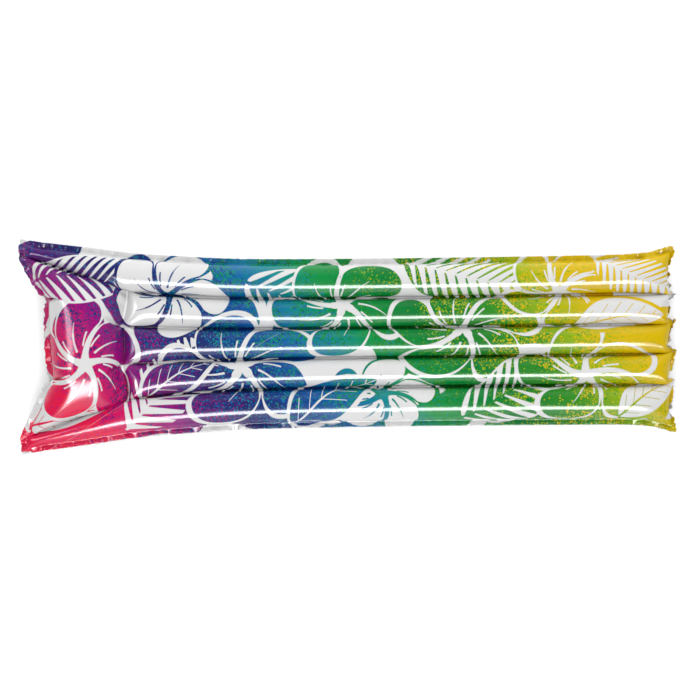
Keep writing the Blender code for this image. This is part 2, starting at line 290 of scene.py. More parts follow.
@dataclass(frozen=True)
class CutPattern:
    """The films as they are cut and welded, lying flat. All sizes in metres.

    The head's edge is at 0 along, and the centre line at 0 across.
    """

    length: float = 1.830
    width: float = 0.690
    side_rim: float = 0.017
    end_rim: float = 0.018
    foot_rim: float = 0.010
    inner_seam: float = 0.0625
    outer_seam: float = 0.1875
    pillow_seam: float = 0.298
    seam_width: float = 0.005
    corner_slope: float = 0.357
    seam_stop: float = 0.014
    neck_end: float = 0.620
    neck_cells: int = 36
    neck_growth: float = 1.6
    neck_even: float = 0.25
    foot_zone: float = 0.230
    end_cell: float = 0.0066
    middle_cell: float = 0.020
    across_cell: float = 0.0075

    def along(self) -> tuple[Array, int, int, int]:
        """Places the rows of points.

        Returns:
            The rows' distances, and the rows of the head weld, the pillow seam and the foot weld.
        """
        half = self.seam_width / 2
        before, after = self.pillow_seam - half, self.pillow_seam + half
        foot_weld = self.length - self.foot_rim
        rows = self._spread(0.0, self.end_rim, self.end_rim / 2)
        head = len(rows)
        rows += self._spread(self.end_rim, before, self.end_cell)
        seam = len(rows)
        rows.append(before)
        shares = np.linspace(0, 1, self.neck_cells, endpoint=False)
        grown = (1 - self.neck_even) * shares**self.neck_growth + self.neck_even * shares
        rows += list(after + (self.neck_end - after) * grown)
        rows += self._spread(self.neck_end, self.length - self.foot_zone, self.middle_cell)
        rows += self._spread(self.length - self.foot_zone, foot_weld, self.end_cell)
        foot = len(rows)
        rows += self._spread(foot_weld, self.length, self.foot_rim / 2) + [self.length]
        return np.array(rows), head, seam, foot

    def across(self) -> tuple[Array, list[int]]:
        """Places the columns of points on the waist.

        Returns:
            The columns' distances, and the columns at both edges of every weld.
        """
        half = self.seam_width / 2
        side = self.width / 2 - self.side_rim
        edges = [-self.width / 2, -side]
        for seam in (-self.outer_seam, -self.inner_seam, self.inner_seam, self.outer_seam):
            edges += [seam - half, seam + half]
        edges += [side, self.width / 2]
        columns: list[float] = []
        marks = []
        for low, high in zip(edges[:-1], edges[1:]):
            marks.append(len(columns))
            columns += self._spread(low, high, self.across_cell)
        marks.append(len(columns))
        columns.append(edges[-1])
        return np.array(columns), marks

    def flat(self) -> Array:
        """Lays the points out as they are cut, with the outer seams fanned out to the corners.

        Returns:
            Places in metres as (2, rows, columns).
        """
        x, y = np.meshgrid(self.along()[0], self.across()[0], indexing="ij")
        half = self.seam_width / 2
        side = self.width / 2 - self.side_rim
        fan = self.outer_seam + self.corner_slope * np.clip(self.pillow_seam - x, 0, None)
        reach = np.abs(y)
        low, high = self.outer_seam - half, self.outer_seam + half
        inner = reach / low * (fan - half)
        strip = fan - half + (reach - low)
        outer = fan + half + (reach - high) / (side - high) * (side - fan - half)
        moved = np.select([reach <= low, reach <= high, reach <= side], [inner, strip, outer], reach)
        return np.stack([x, np.sign(y) * moved])

    def welds(self) -> tuple[Array, Array]:
        """Finds what is welded.

        Returns:
            Which points of the two films are joined, and which cells the air can't push.
        """
        rows, head, seam, foot = self.along()
        columns, marks = self.across()
        points = np.zeros((len(rows), len(columns)), bool)
        cells = np.zeros((len(rows) - 1, len(columns) - 1), bool)
        points[: head + 1] = points[foot:] = True
        cells[:head] = cells[foot:] = True
        near, far = marks[Mark.NEAR_RIM], marks[Mark.FAR_RIM]
        points[:, : near + 1] = points[:, far:] = True
        cells[:, :near] = cells[:, far:] = True
        stop = int(np.searchsorted(rows, self.length - self.foot_rim - self.seam_stop))
        inner = (Mark.NEAR_INNER, Mark.FAR_INNER)
        for mark in (Mark.NEAR_OUTER, *inner, Mark.FAR_OUTER):
            start = seam + 1 if mark in inner else 0
            points[start:stop, marks[mark] : marks[mark + 1] + 1] = True
            cells[start : stop - 1, marks[mark] : marks[mark + 1]] = True
        near, far = marks[Mark.NEAR_OUTER], marks[Mark.FAR_OUTER + 1]
        points[seam : seam + 2, near : far + 1] = True
        cells[seam, near:far] = True
        return points, cells

    @staticmethod
    def _spread(start: float, end: float, step: float) -> list[float]:
        """Even places from start up to, but not at, end, about a step apart."""
        count = max(1, round((end - start) / step))
        return list(np.linspace(start, end, count + 1)[:-1])


@dataclass(frozen=True)
class Inflation:
    """Blows a cut pattern up by dynamic relaxation.

    A thread that is stretched pulls fully. One that is pressed together pushes with only
    a share of that, because thin film buckles.
    """

    steps: int = 6500
    pressure: float = 0.25
    pillow_share: float = 0.2
    squeeze: float = 0.10
    straight: float = 0.75
    slanted: float = 0.35
    bend: float = 0.0004
    bend_inertia: float = 8.0
    rim_bend: float = 1.5
    foot_bend: float = 0.6
    least_bend: float = 0.45
    inertia: float = 0.6
    damping: float = 0.012
    ramp: int = 300
    start_gap: float = 0.002
    roughness: float = 0.0012
    softenings: int = 6
    seed: int = 1
    far_fold: float = 0.149
    near_fold: float = -0.105
    fold_height: float = 0.020
    fold_width: float = 0.030
    fold_length: float = 0.090
    crease: float = 0.95
    crease_length: float = 0.035

    def run(self, cut: CutPattern) -> Array:
        """Finds the blown-up places of all points.

        Args:
            cut: The films as cut and welded.

        Returns:
            Places in metres as (3, film, rows, columns).
        """
        flat = cut.flat()
        weld, shut = cut.welds()
        rows, head, seam, foot = cut.along()
        marks = cut.across()[1]
        rest = {}
        for name, (after, before) in THREADS.items():
            gap = flat[(EVERY, *after)] - flat[(EVERY, *before)]
            rest[name] = np.sqrt((gap**2).sum(0)).astype(np.float32)
        pull, wide_x, wide_y = self._stiffness(rest, rows)
        weight = np.zeros(weld.shape, np.float32)
        for name, (after, before) in THREADS.items():
            weight[after] += pull[name]
            weight[before] += pull[name]
        stiff = np.ones(weld.shape, np.float32)
        stiff[: head + 1] = self.rim_bend
        stiff[:, : marks[Mark.NEAR_RIM] + 1] = stiff[:, marks[Mark.FAR_RIM] :] = self.rim_bend
        stiff[foot:] = self.foot_bend
        bending = self.bend_inertia * self.bend * np.maximum(stiff, self.least_bend)
        weight = weight * self.inertia + bending
        for fold in (self.far_fold, self.near_fold):
            off, deep = (flat[1] - fold) / self.fold_width, flat[0] / self.crease_length
            stiff *= (1 - self.crease * np.exp(-(off**2) - deep**4)).astype(np.float32)
        bend_x = self.bend * stiff[1:-1] * wide_y[1:-1] / wide_x[1:-1]
        bend_y = self.bend * stiff[:, 1:-1] * wide_x[:, 1:-1] / wide_y[:, 1:-1]
        ease = (1 / weight).astype(np.float32)
        # The cross product of a cell's diagonals is twice its area, and four points share the push.
        air = (~shut).astype(np.float32) * self.pressure / 8
        air[:seam, marks[Mark.NEAR_OUTER + 1] : marks[Mark.FAR_OUTER]] *= self.pillow_share
        place = self._start(flat, weld)
        speed = np.zeros_like(place)
        for step in range(self.steps):
            force = self._thread_force(place, rest, pull)
            self._add_bend(force, place, bend_x, bend_y)
            self._add_air(force, place, air * min(1.0, (step + 1) / self.ramp))
            shared = (force[:, 0] + force[:, 1]) * 0.5
            force = np.where(weld, shared[:, None], force)
            speed += force * ease
            speed *= 1 - self.damping
            place += speed
        return place.astype(float)

    def _start(self, flat: Array, weld: Array) -> Array:
        """Lays the films flat, a little apart, slightly uneven, and with two started folds at the head.

        Args:
            flat: Cut places as (2, rows, columns).
            weld: Which points are joined.

        Returns:
            Places as (3, film, rows, columns).
        """
        rough = np.random.default_rng(self.seed).standard_normal(weld.shape)
        for _ in range(self.softenings):
            rough[1:-1] = (rough[:-2] + rough[1:-1] + rough[2:]) / 3
            rough[:, 1:-1] = (rough[:, :-2] + rough[:, 1:-1] + rough[:, 2:]) / 3
        rough *= self.roughness / rough.std()
        for fold in (self.far_fold, self.near_fold):
            off = (flat[1] - fold) / self.fold_width
            rough += self.fold_height * np.exp(-(off**2) - flat[0] / self.fold_length)
        place = np.zeros((3, 2, *weld.shape), np.float32)
        place[0], place[1], place[2] = flat[0], flat[1], rough
        for side in Side:
            place[2, side] += np.where(weld, 0, self.start_gap) * side.sign
        return place

    def _stiffness(self, rest: Family, rows: Array) -> tuple[Family, Array, Array]:
        """Finds how stiff each thread is: two straight families, and two slanted ones for shear.

        Args:
            rest: Cut lengths of the threads.
            rows: The rows' distances.

        Returns:
            The threads' stiffness, and the widths along and across of the film at each point.
        """
        gaps, across = np.diff(rows), rest["across"]
        wide = np.concatenate([[gaps[0] / 2], (gaps[1:] + gaps[:-1]) / 2, [gaps[-1] / 2]])
        wide_x = np.repeat(wide[:, None], across.shape[1] + 1, 1).astype(np.float32)
        wide_y = np.zeros_like(wide_x)
        wide_y[:, 1:-1] = (across[:, 1:] + across[:, :-1]) / 2
        wide_y[:, 0], wide_y[:, -1] = across[:, 0] / 2, across[:, -1] / 2
        cell = (gaps[:, None] * (across[1:] + across[:-1]) / 2).astype(np.float32)
        pull = {
            "along": (wide_y[1:] + wide_y[:-1]) / 2 / rest["along"] * self.straight,
            "across": (wide_x[:, 1:] + wide_x[:, :-1]) / 2 / across * self.straight,
            "rising": self.slanted * cell / rest["rising"] ** 2,
            "falling": self.slanted * cell / rest["falling"] ** 2,
        }
        return pull, wide_x, wide_y

    def _thread_force(self, place: Array, rest: Family, pull: Family) -> Array:
        """Sums the threads' pulls on every point.

        Args:
            place: Places as (3, film, rows, columns).
            rest: Cut lengths of the threads.
            pull: Their stiffness.

        Returns:
            The forces, laid out as the places are.
        """
        force = np.zeros_like(place)
        both = (EVERY, EVERY)
        for name, (after, before) in THREADS.items():
            gap = place[(*both, *after)] - place[(*both, *before)]
            long = np.sqrt(gap[0] * gap[0] + gap[1] * gap[1] + gap[2] * gap[2])
            strain = 1 - rest[name] / long
            gap *= np.where(strain < 0, strain * self.squeeze, strain) * pull[name]
            force[(*both, *before)] += gap
            force[(*both, *after)] -= gap
        return force

    @staticmethod
    def _add_bend(force: Array, place: Array, bend_x: Array, bend_y: Array) -> None:
        """Adds the film's own stiffness against bending.

        Args:
            force: The forces, which are added to.
            place: Places of the points.
            bend_x: Stiffness along, at the inner rows.
            bend_y: Stiffness across, at the inner columns.
        """
        for axis, bend in ((2, bend_x), (3, bend_y.T)):
            pushed, curved = force.swapaxes(2, axis), place.swapaxes(2, axis)
            curl = (curved[:, :, 2:] - 2 * curved[:, :, 1:-1] + curved[:, :, :-2]) * bend
            pushed[:, :, 1:-1] += 2 * curl
            pushed[:, :, 2:] -= curl
            pushed[:, :, :-2] -= curl

    @staticmethod
    def _add_air(force: Array, place: Array, air: Array) -> None:
        """Adds the air's push, square to every free cell.

        Args:
            force: The forces, which are added to.
            place: Places of the points.
            air: The air's push on each cell.
        """
        first = place[:, :, UP, UP] - place[:, :, DOWN, DOWN]
        other = place[:, :, DOWN, UP] - place[:, :, UP, DOWN]
        turns = ((1, 2), (2, 0), (0, 1))
        push = np.stack([first[a] * other[b] - first[b] * other[a] for a, b in turns])
        push *= air * np.array([side.sign for side in Side], np.float32)[:, None, None]
        for rows, columns in ((UP, UP), (DOWN, DOWN), (DOWN, UP), (UP, DOWN)):
            force[:, :, rows, columns] += push


def refine(values: Array, at: Array, parts: Array, crease: Array) -> Array:
    """Adds points between rows on smooth curves that keep the creases sharp.

    Args:
        values: Anything carried by the points, as (kinds, rows, columns).
        at: The rows' distances.
        parts: How many parts each gap between rows is cut into.
        crease: Which points a curve may turn sharply at, as (rows, columns).

    Returns:
        The values with the new rows.
    """
    gaps = np.diff(at)[:, None]
    slope = np.diff(values, axis=1) / gaps
    middle = (slope[:, :-1] * gaps[1:] + slope[:, 1:] * gaps[:-1]) / (gaps[1:] + gaps[:-1])
    even = np.concatenate([slope[:, :1], middle, slope[:, -1:]], axis=1)
    start = np.where(crease[:-1], 1.5 * slope - 0.5 * even[:, 1:], even[:, :-1])
    end = np.where(crease[1:], 1.5 * slope - 0.5 * even[:, :-1], even[:, 1:])
    made = []
    for row, count in enumerate(parts):
        for step in range(count):
            t = step / count
            made.append(
                (1 + 2 * t) * (1 - t) ** 2 * values[:, row]
                + t * (1 - t) ** 2 * gaps[row] * start[:, row]
                + t * t * (3 - 2 * t) * values[:, row + 1]
                + t * t * (t - 1) * gaps[row] * end[:, row]
            )
    made.append(values[:, -1])
    return np.stack(made, axis=1)


def grid_normals(points: Array) -> Array:
    """Unit normals of a grid of points (3, rows, columns), facing +Z on a flat grid."""
    normal = np.cross(np.gradient(points, axis=1), np.gradient(points, axis=2), axis=0)
    return normal / np.maximum(np.linalg.norm(normal, axis=0), 1e-12)


@dataclass(frozen=True)
class Seat:
    """A valve's place: its centre on the lower film's outer face, and its axes.

    The film is drawn taut within the blend and flat within the radius, and opened by a
    round hole. Cells whose centre is nearer than the margins make way for the hole.
    """

    name: str
    turn: Matrix
    radius: float = 0.0210
    hole: float = 0.0135
    hole_sides: int = 64
    hole_margin: float = 0.0035
    level_margin: float = 0.004
    blend: float = 0.0480
    fade: float = 0.015
    reach: float = 0.05
    pulls: int = 40
    pull: float = 0.2

    @classmethod
    def at(cls, name: str, centre: Spot, outward: Spot) -> "Seat":
        """Builds the seat's matrix from its centre and the way it faces.

        Args:
            name: Prefix of the valve's nodes.
            centre: Centre on the film's outer face, in metres.
            outward: Direction out of the mat.

        Returns:
            The seat, whose +Z points out of the mat and whose -X carries the strap.
        """
        out = Vector(outward).normalized()
        across = out.cross(Vector((0, 1, 0))).normalized()
        along = across.cross(out)
        spin = Matrix((along, across, out)).transposed().to_4x4()
        return cls(name, Matrix.Translation(centre) @ spin)

    @property
    def out(self) -> Vector:
        """The way out of the mat."""
        return Vector(self.turn.col[2][:3])

    def inward(self, points: Array) -> tuple[Array, Array]:
        """Measures points from the seat.

        Args:
            points: Places as (3, ...).

        Returns:
            Distance from the valve's axis, and height over the seat's plane.
        """
        centre = np.array(self.turn.translation)
        offset = points - centre.reshape(3, *[1] * (points.ndim - 1))
        height = np.tensordot(np.array(self.out), offset, axes=1)
        return np.sqrt(np.maximum((offset**2).sum(0) - height**2, 0)), height

    def open_hole(self, shape: bmesh.types.BMesh) -> None:
        """Opens the round hole in a film and closes the film up to its edge.

        Args:
            shape: The film, with its cut pattern as UV map.
        """
        layer = shape.loops.layers.uv["cut"]
        back = self.turn.inverted()
        doomed = []
        for face in shape.faces:
            centre = back @ face.calc_center_median()
            if abs(centre.z) < self.level_margin and centre.xy.length < self.hole + self.hole_margin:
                doomed.append(face)
        chosen = set(doomed)
        edges = [edge for face in doomed for edge in face.edges]
        border = [edge for edge in edges if sum(face in chosen for face in edge.link_faces) == 1]
        sample = doomed[0].loops[0][layer].uv.copy()
        bmesh.ops.delete(shape, geom=doomed, context="FACES")
        ring = []
        for step in range(self.hole_sides):
            angle = 2 * math.pi * step / self.hole_sides
            spot = Vector((self.hole * math.cos(angle), self.hole * math.sin(angle), 0))
            ring.append(shape.verts.new(self.turn @ spot))
        loop = [shape.edges.new(pair) for pair in zip(ring, ring[1:] + ring[:1])]
        made = bmesh.ops.triangle_fill(shape, use_beauty=True, edges=border + loop)
        for face in [item for item in made["geom"] if isinstance(item, bmesh.types.BMFace)]:
            for corner in face.loops:
                corner[layer].uv = sample
            face.normal_update()
            if face.normal.dot(self.out) < 0:
                face.normal_flip()


@dataclass
class Mat:
    """The blown-up films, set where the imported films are."""

    cut: CutPattern
    inflation: Inflation
    seats: tuple[Seat, ...]
    wall: float = 0.0004
    joint_gap: float = 0.0001
    pillow_level: float = 0.0766
    rib_level: float = 0.0477
    level_start: float = 0.210
    level_end: float = 0.490
    parts: int = 2
    long_gap: float = 0.012
    long_parts: int = 4
    short_gap: float = 0.0052
    crinkle: float = 0.0016
    crinkle_fade: float = 0.7
    end_crinkle: float = 1.3
    crinkle_wave: float = 0.013
    wave_shares: tuple[float, ...] = (0.75, 1.0, 1.4, 2.6)
    wave_sum: float = 2.2
    wave_start: float = 6.0
    wave_drift: float = 1.5
    drift_length: float = 5.3
    side_shift: float = 7.3
    side_seed: int = 3
    end_shift: float = 5.1
    end_seed: int = 5
    points: Array = field(init=False)
    flat: Array = field(init=False)

    def blow_up(self) -> None:
        """Solves the films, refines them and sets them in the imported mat's box."""
        place = self.inflation.run(self.cut)
        low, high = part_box("top_sheet")
        tips = (place[0, 0, 0, 0] + place[0, 0, 0, -1]) / 2
        scale = (high[0] - low[0]) / (place[0].max() - tips)
        place[0] = (place[0] - tips) * scale + low[0]
        place[1:] *= scale
        fine = self._refined(place)
        self.flat = fine[6:]
        self.points = fine[:6].reshape(3, 2, *fine.shape[1:])
        self._crinkle_rim()
        along = self.points[0] - low[0]
        step = smooth((along - self.level_start) / (self.level_end - self.level_start))
        self.points[2] += self.pillow_level + (self.rib_level - self.pillow_level) * step

    def _refined(self, place: Array) -> Array:
        """Adds rows and columns between the solved points.

        Args:
            place: Places as (3, film, rows, columns).

        Returns:
            Both films' places and the cut places, as eight kinds.
        """
        rows, head, seam, foot = self.cut.along()
        columns, marks = self.cut.across()
        weld = self.cut.welds()[0]
        values = np.concatenate([place.reshape(6, *weld.shape), self.cut.flat()])
        crease = np.zeros_like(weld)
        crease[:, marks[1:-1]] = weld[:, marks[1:-1]]
        across = np.full(len(columns) - 1, self.parts)
        for mark in range(Mark.NEAR_OUTER, Mark.FAR_RIM, 2):
            across[marks[mark] : marks[mark + 1]] = 1
        across[: marks[Mark.NEAR_RIM]] = across[marks[Mark.FAR_RIM] :] = RIM_PARTS
        values = refine(values.swapaxes(1, 2), columns, across, crease.T).swapaxes(1, 2)
        along = np.full(len(rows) - 1, self.parts)
        along[np.diff(rows) > self.long_gap] = self.long_parts
        along[np.diff(rows) < self.short_gap] = 1
        along[:head] = along[foot:] = RIM_PARTS
        turn = np.zeros((len(rows), values.shape[2]), bool)
        turn[[head, foot]] = True
        turn[[seam, seam + 1]] = np.abs(values[7][seam]) <= self.cut.outer_seam
        return refine(values, rows, along, turn)

    def _crinkle_rim(self) -> None:
        """Puckers the flat rim with the short waves that a weld leaves in thin film."""
        x, y = self.flat
        cut, fade = self.cut, self.crinkle_fade
        side = np.clip(1 - (cut.width / 2 - np.abs(y)) / cut.side_rim, 0, 1)
        end = np.clip(1 - np.minimum(x, cut.length - x) / cut.end_rim, 0, 1)
        wave = self._waves(x + np.sign(y) * self.side_shift, self.side_seed) * side**fade
        tips = self._waves(y + (x > cut.length / 2) * self.end_shift, self.end_seed)
        wave += tips * end**fade * self.end_crinkle
        normal = grid_normals((self.points[:, 0] + self.points[:, 1]) / 2)
        self.points += (normal * wave * self.crinkle)[:, None]

    def _waves(self, place: Array, seed: int) -> Array:
        """Makes uneven waves along a line, about one high, with a steady mean length.

        Args:
            place: Places on the line.
            seed: Seed of the waves' starts.

        Returns:
            The waves' heights.
        """
        rng = np.random.default_rng(seed)
        total = np.zeros_like(place)
        for share in self.wave_shares:
            length = self.crinkle_wave * share
            turn = place / (length * self.drift_length) + rng.uniform(0, self.wave_start)
            drift = self.wave_drift * np.sin(turn)
            turn = 2 * math.pi * place / length + rng.uniform(0, self.wave_start)
            total += np.sin(turn + drift) * share
        return total / self.wave_sum

    def film(self, side: Side, name: str, material: Material) -> Object:
        """Makes one film as a thin closed wall.

        Args:
            side: Which film.
            name: The piece's name.
            material: Its finish.

        Returns:
            The piece, with its cut pattern as UV map.
        """
        points, _ = self._outer_face(side)
        rows, columns = points.shape[1:]
        index = np.arange(rows * columns).reshape(rows, columns)
        corners = [index[:-1, :-1], index[1:, :-1], index[1:, 1:], index[:-1, 1:]]
        quads = np.stack(corners[:: side.sign], -1).reshape(-1, 4)
        mesh = bpy.data.meshes.new(name)
        mesh.from_pydata(points.reshape(3, -1).T.tolist(), [], quads.tolist())
        layer = mesh.uv_layers.new(name="cut")
        shares = self._shares()[:2].reshape(2, -1).T[quads.ravel()]
        layer.uv.foreach_set("vector", shares.astype(np.float32).ravel())
        if side is Side.BOTTOM:
            self._open_holes(mesh)
        mesh.shade_smooth()
        mesh.materials.append(material)
        piece = put(name, mesh)
        wall = piece.modifiers.new("wall", "SOLIDIFY")
        wall.thickness = self.wall
        wall.offset = -1
        log.info("%s: %d points", name, rows * columns)
        return piece

    def _shares(self) -> Array:
        """Cut places as shares of the pattern's length and width, with a third row of zeros."""
        x, y = self.flat
        return np.stack([x / self.cut.length, y / self.cut.width + 0.5, 0 * x])

    def _outer_face(self, side: Side) -> tuple[Array, Array]:
        """Finds a film's outer face.

        Args:
            side: Which film.

        Returns:
            Its points, and the ways out of the mat there.
        """
        outward = grid_normals(self.points[:, side]) * side.sign
        points = self.points[:, side] + outward * (self.wall + self.joint_gap / 2)
        return self._seated(points) if side is Side.BOTTOM else points, outward

    def rim_path(self, side: Side) -> Mesh:
        """Draws the closed line along the middle of the rim.

        Args:
            side: The film whose outer face it lies on.

        Returns:
            Points and edges only, with the ways out of the mat and the cut places as attributes.
        """
        points, outward = self._outer_face(side)
        low, (rows, columns) = RIM_CENTRE, (size - 1 - RIM_CENTRE for size in points.shape[1:])
        loop = [(low, column) for column in range(low, columns)]
        loop += [(row, columns) for row in range(low, rows)]
        loop += [(rows, column) for column in range(columns, low, -1)]
        loop += [(row, low) for row in range(rows, low, -1)]
        row, column = np.array(loop).T
        edges = [(at, (at + 1) % len(loop)) for at in range(len(loop))]
        mesh = bpy.data.meshes.new(f"rim_path_{side.name.lower()}")
        mesh.from_pydata(points[:, row, column].T.tolist(), edges, [])
        for name, values in (("outward", outward), ("cut", self._shares())):
            layer = mesh.attributes.new(name, "FLOAT_VECTOR", "POINT")
            layer.data.foreach_set("vector", values[:, row, column].T.astype(np.float32).ravel())
        return mesh

    def _seated(self, points: Array) -> Array:
        """Draws the lower film taut round the valves, lays it on their seats, and keeps it over the floor.

        Args:
            points: Places on its outer face as (3, rows, columns).

        Returns:
            The moved places.
        """
        for seat in self.seats:
            radius, height = seat.inward(points)
            near = np.abs(height) < seat.reach
            taut = (1 - smooth((radius - seat.blend) / seat.fade)) * near * seat.pull
            for _ in range(seat.pulls):
                inner = points[:, 1:-1, 1:-1]
                around = points[:, 2:, 1:-1] + points[:, :-2, 1:-1]
                around = around + points[:, 1:-1, 2:] + points[:, 1:-1, :-2]
                inner += (around - 4 * inner) * taut[1:-1, 1:-1]
            radius, height = seat.inward(points)
            share = 1 - smooth((radius - seat.radius) / (seat.blend - seat.radius))
            points = points - np.array(seat.out).reshape(3, 1, 1) * (height * share * near)
        points[2] = np.maximum(points[2], 0.0)
        return points

    def _open_holes(self, mesh: Mesh) -> None:
        """Opens the valves' holes in the lower film.

        Args:
            mesh: The film's mesh.
        """
        shape = bmesh.new()
        shape.from_mesh(mesh)
        for seat in self.seats:
            seat.open_hole(shape)
        loose = [vert for vert in shape.verts if not vert.link_faces]
        bmesh.ops.delete(shape, geom=loose, context="VERTS")
        shape.to_mesh(mesh)
        shape.free()


class Kind(Enum):
    """Kinds of printed motif."""

    BLOSSOM = "blossom"
    FROND = "frond"
    LEAF = "leaf"


@dataclass(frozen=True)
class Stamp:
    """One printed motif: place on the cut film in metres, size, turn in degrees, and polarity."""

    kind: Kind
    along: float
    across: float
    size: float
    turn: float
    inked: bool


@dataclass(frozen=True)
class Motif:
    """A drawn motif as a node group. All widths in metres, and spans as shares of its size.

    Its group gives three shares: the body, the body with the band round it, and the lines in it.
    """

    name: str
    band: float = 0.013
    soft: float = 0.0015

    def group(self) -> NodeTree:
        """Draws the motif.

        Returns:
            The node group.
        """
        group = bpy.data.node_groups.new(self.name, "ShaderNodeTree")
        for way, kind, titles in (
            ("INPUT", "NodeSocketVector", ("Point", "Centre")),
            ("INPUT", "NodeSocketFloat", ("Size", "Turn")),
            ("OUTPUT", "NodeSocketFloat", ("Body", "Band", "Lines")),
        ):
            for title in titles:
                group.interface.new_socket(title, in_out=way, socket_type=kind)
        point, centre, size, turn = add_node(group, "NodeGroupInput").outputs[:4]
        offset = add_node(group, "ShaderNodeVectorMath", {0: point, 1: centre}, operation="SUBTRACT")
        turning = {"Vector": offset, "Angle": turn}
        turned = add_node(group, "ShaderNodeVectorRotate", turning, rotation_type="Z_AXIS")
        split = add_node(group, "ShaderNodeSeparateXYZ", {0: turned})
        drawn = self.draw(Term(split.outputs[0]), Term(split.outputs[1]), Term(size))
        add_node(group, "NodeGroupOutput", dict(enumerate(drawn)))
        return group

    def draw(self, x: Term, y: Term, size: Term) -> tuple[Term, Term, Term]:
        """Works out the three shares.

        Args:
            x: Distance from the motif's centre along it.
            y: Distance across it.
            size: The motif's size.

        Returns:
            The body, the body with its band, and the lines.
        """
        raise NotImplementedError


@dataclass(frozen=True)
class Blossom(Motif):
    """Five broad petals that turn like a windmill, with a starry eye and thin veins."""

    petals: int = 5
    swirl: float = 0.75
    notch: float = 0.48
    roundness: float = 0.5
    gap: float = 0.0085
    gap_taper: float = 0.45
    vein: float = 0.0044
    vein_taper: float = 1.3
    vein_span: tuple[float, float] = (0.22, 0.66)
    fine: float = 0.0022
    fine_lines: int = 3
    fine_span: tuple[float, float] = (0.28, 0.50)
    eye: float = 0.08
    star: float = 0.11
    eye_soft: float = 0.012

    def draw(self, x: Term, y: Term, size: Term) -> tuple[Term, Term, Term]:
        """Works out the petals, the gaps between them, the veins and the eye.

        Args:
            x: Distance from the eye along the turned motif.
            y: Distance across it.
            size: The blossom's radius.

        Returns:
            The petals, the petals with their band, and the lines.
        """
        far = (x * x + y * y) ** 0.5
        share = far / size
        swirl = y.work("ARCTAN2", x) + share * self.swirl
        wave = swirl * (self.petals / 2)
        ridge, valley = abs(wave.work("COSINE")), abs(wave.work("SINE"))
        slope = 2 / self.petals
        reach = ridge**self.roundness * (1 - self.notch) + self.notch
        inside = (reach - share) * size
        gap = ((1 - share * self.gap_taper) * self.gap - ridge * far * slope).edge(self.soft)
        vein = ((1 - share * self.vein_taper) * self.vein - valley * far * slope).edge(self.soft)
        thin = abs((swirl * (self.petals * self.fine_lines / 2)).work("SINE"))
        fine = (self.fine - thin * far * (slope / self.fine_lines)).edge(self.soft)
        eye = (valley * self.star + self.eye - share).edge(self.eye_soft)
        lines = gap.most(vein * share.within(*self.vein_span)).most(fine * share.within(*self.fine_span))
        return inside.edge(self.soft), (inside + self.band).edge(self.soft), lines.most(eye)


@dataclass(frozen=True)
class Frond(Motif):
    """A palm frond: slanted leaflets on both sides of a curved spine."""

    band: float = 0.006
    bow: float = 0.28
    breadth: float = 0.27
    fullness: float = 0.6
    pitch: float = 0.085
    slant: float = 0.75
    leaflet: float = 0.86
    leaflet_taper: float = 0.55
    leaflet_soft: float = 0.12
    spine: float = 0.0046
    spine_taper: float = 0.7

    def draw(self, x: Term, y: Term, size: Term) -> tuple[Term, Term, Term]:
        """Works out the leaflets and the spine.

        Args:
            x: Distance from the frond's foot along it.
            y: Distance across it.
            size: The frond's length.

        Returns:
            The leaflets with the spine, the band round them, and no lines.
        """
        share = x / size
        held = share.held()
        off = abs(y - share * share * size * self.bow)
        reach = (held * math.pi).work("SINE") ** self.fullness * size * self.breadth
        beat = ((x - off * self.slant) / (size * self.pitch)).work("FRACT")
        comb = abs(beat * 2 - 1)
        taper = off / reach.most(0.001) * self.leaflet_taper
        leaflets = (self.leaflet - taper - comb).edge(self.leaflet_soft) * (reach - off).edge(self.soft)
        spine = ((1 - held * self.spine_taper) * self.spine - off).edge(self.soft)
        within = share.within(0.0, 1.0)
        body = leaflets.most(spine) * within
        return body, (reach + self.band - off).edge(self.soft) * within, body * 0


@dataclass(frozen=True)
class Leaf(Motif):
    """A broad pointed leaf with a midrib and slanted veins."""

    bow: float = 0.07
    breadth: float = 0.24
    fullness: float = 0.8
    pitch: float = 0.16
    slant: float = 1.1
    spine: float = 0.0036
    spine_taper: float = 0.75
    vein: float = 0.0015
    vein_reach: float = 0.72
    margin: float = 0.03

    def draw(self, x: Term, y: Term, size: Term) -> tuple[Term, Term, Term]:
        """Works out the blade, the midrib and the veins.

        Args:
            x: Distance from the leaf's foot along it.
            y: Distance across it.
            size: The leaf's length.

        Returns:
            The blade, the blade with its band, and the lines.
        """
        share = x / size
        held = share.held()
        off = abs(y - (held * math.pi).work("SINE") * size * self.bow)
        reach = (held**self.fullness * math.pi).work("SINE") ** self.fullness * size * self.breadth
        spine = ((1 - held * self.spine_taper) * self.spine - off).edge(self.soft)
        pitch = size * self.pitch
        beat = ((x - off * self.slant) / pitch).work("FRACT")
        veins = (self.vein - abs(beat - 0.5) * pitch).edge(self.soft)
        veins = veins * (reach * self.vein_reach - off).over(0.0)
        near = share.within(-self.margin, 1 + self.margin)
        band = (reach + self.band - off).edge(self.soft) * near
        return (reach - off).edge(self.soft), band, spine.most(veins)


def start_material(name: str, values: dict[str, Any]) -> tuple[Material, Node]:
    """Starts a material on the Principled shader.

    Args:
        name: The material's name.
        values: The shader's inputs to set, by name.

    Returns:
        The material and its shader.
    """
    made = bpy.data.materials.new(name)
    made.use_nodes = True
    shader = made.node_tree.nodes["Principled BSDF"]
    for title, value in values.items():
        shader.inputs[title].default_value = value
    return made, shader


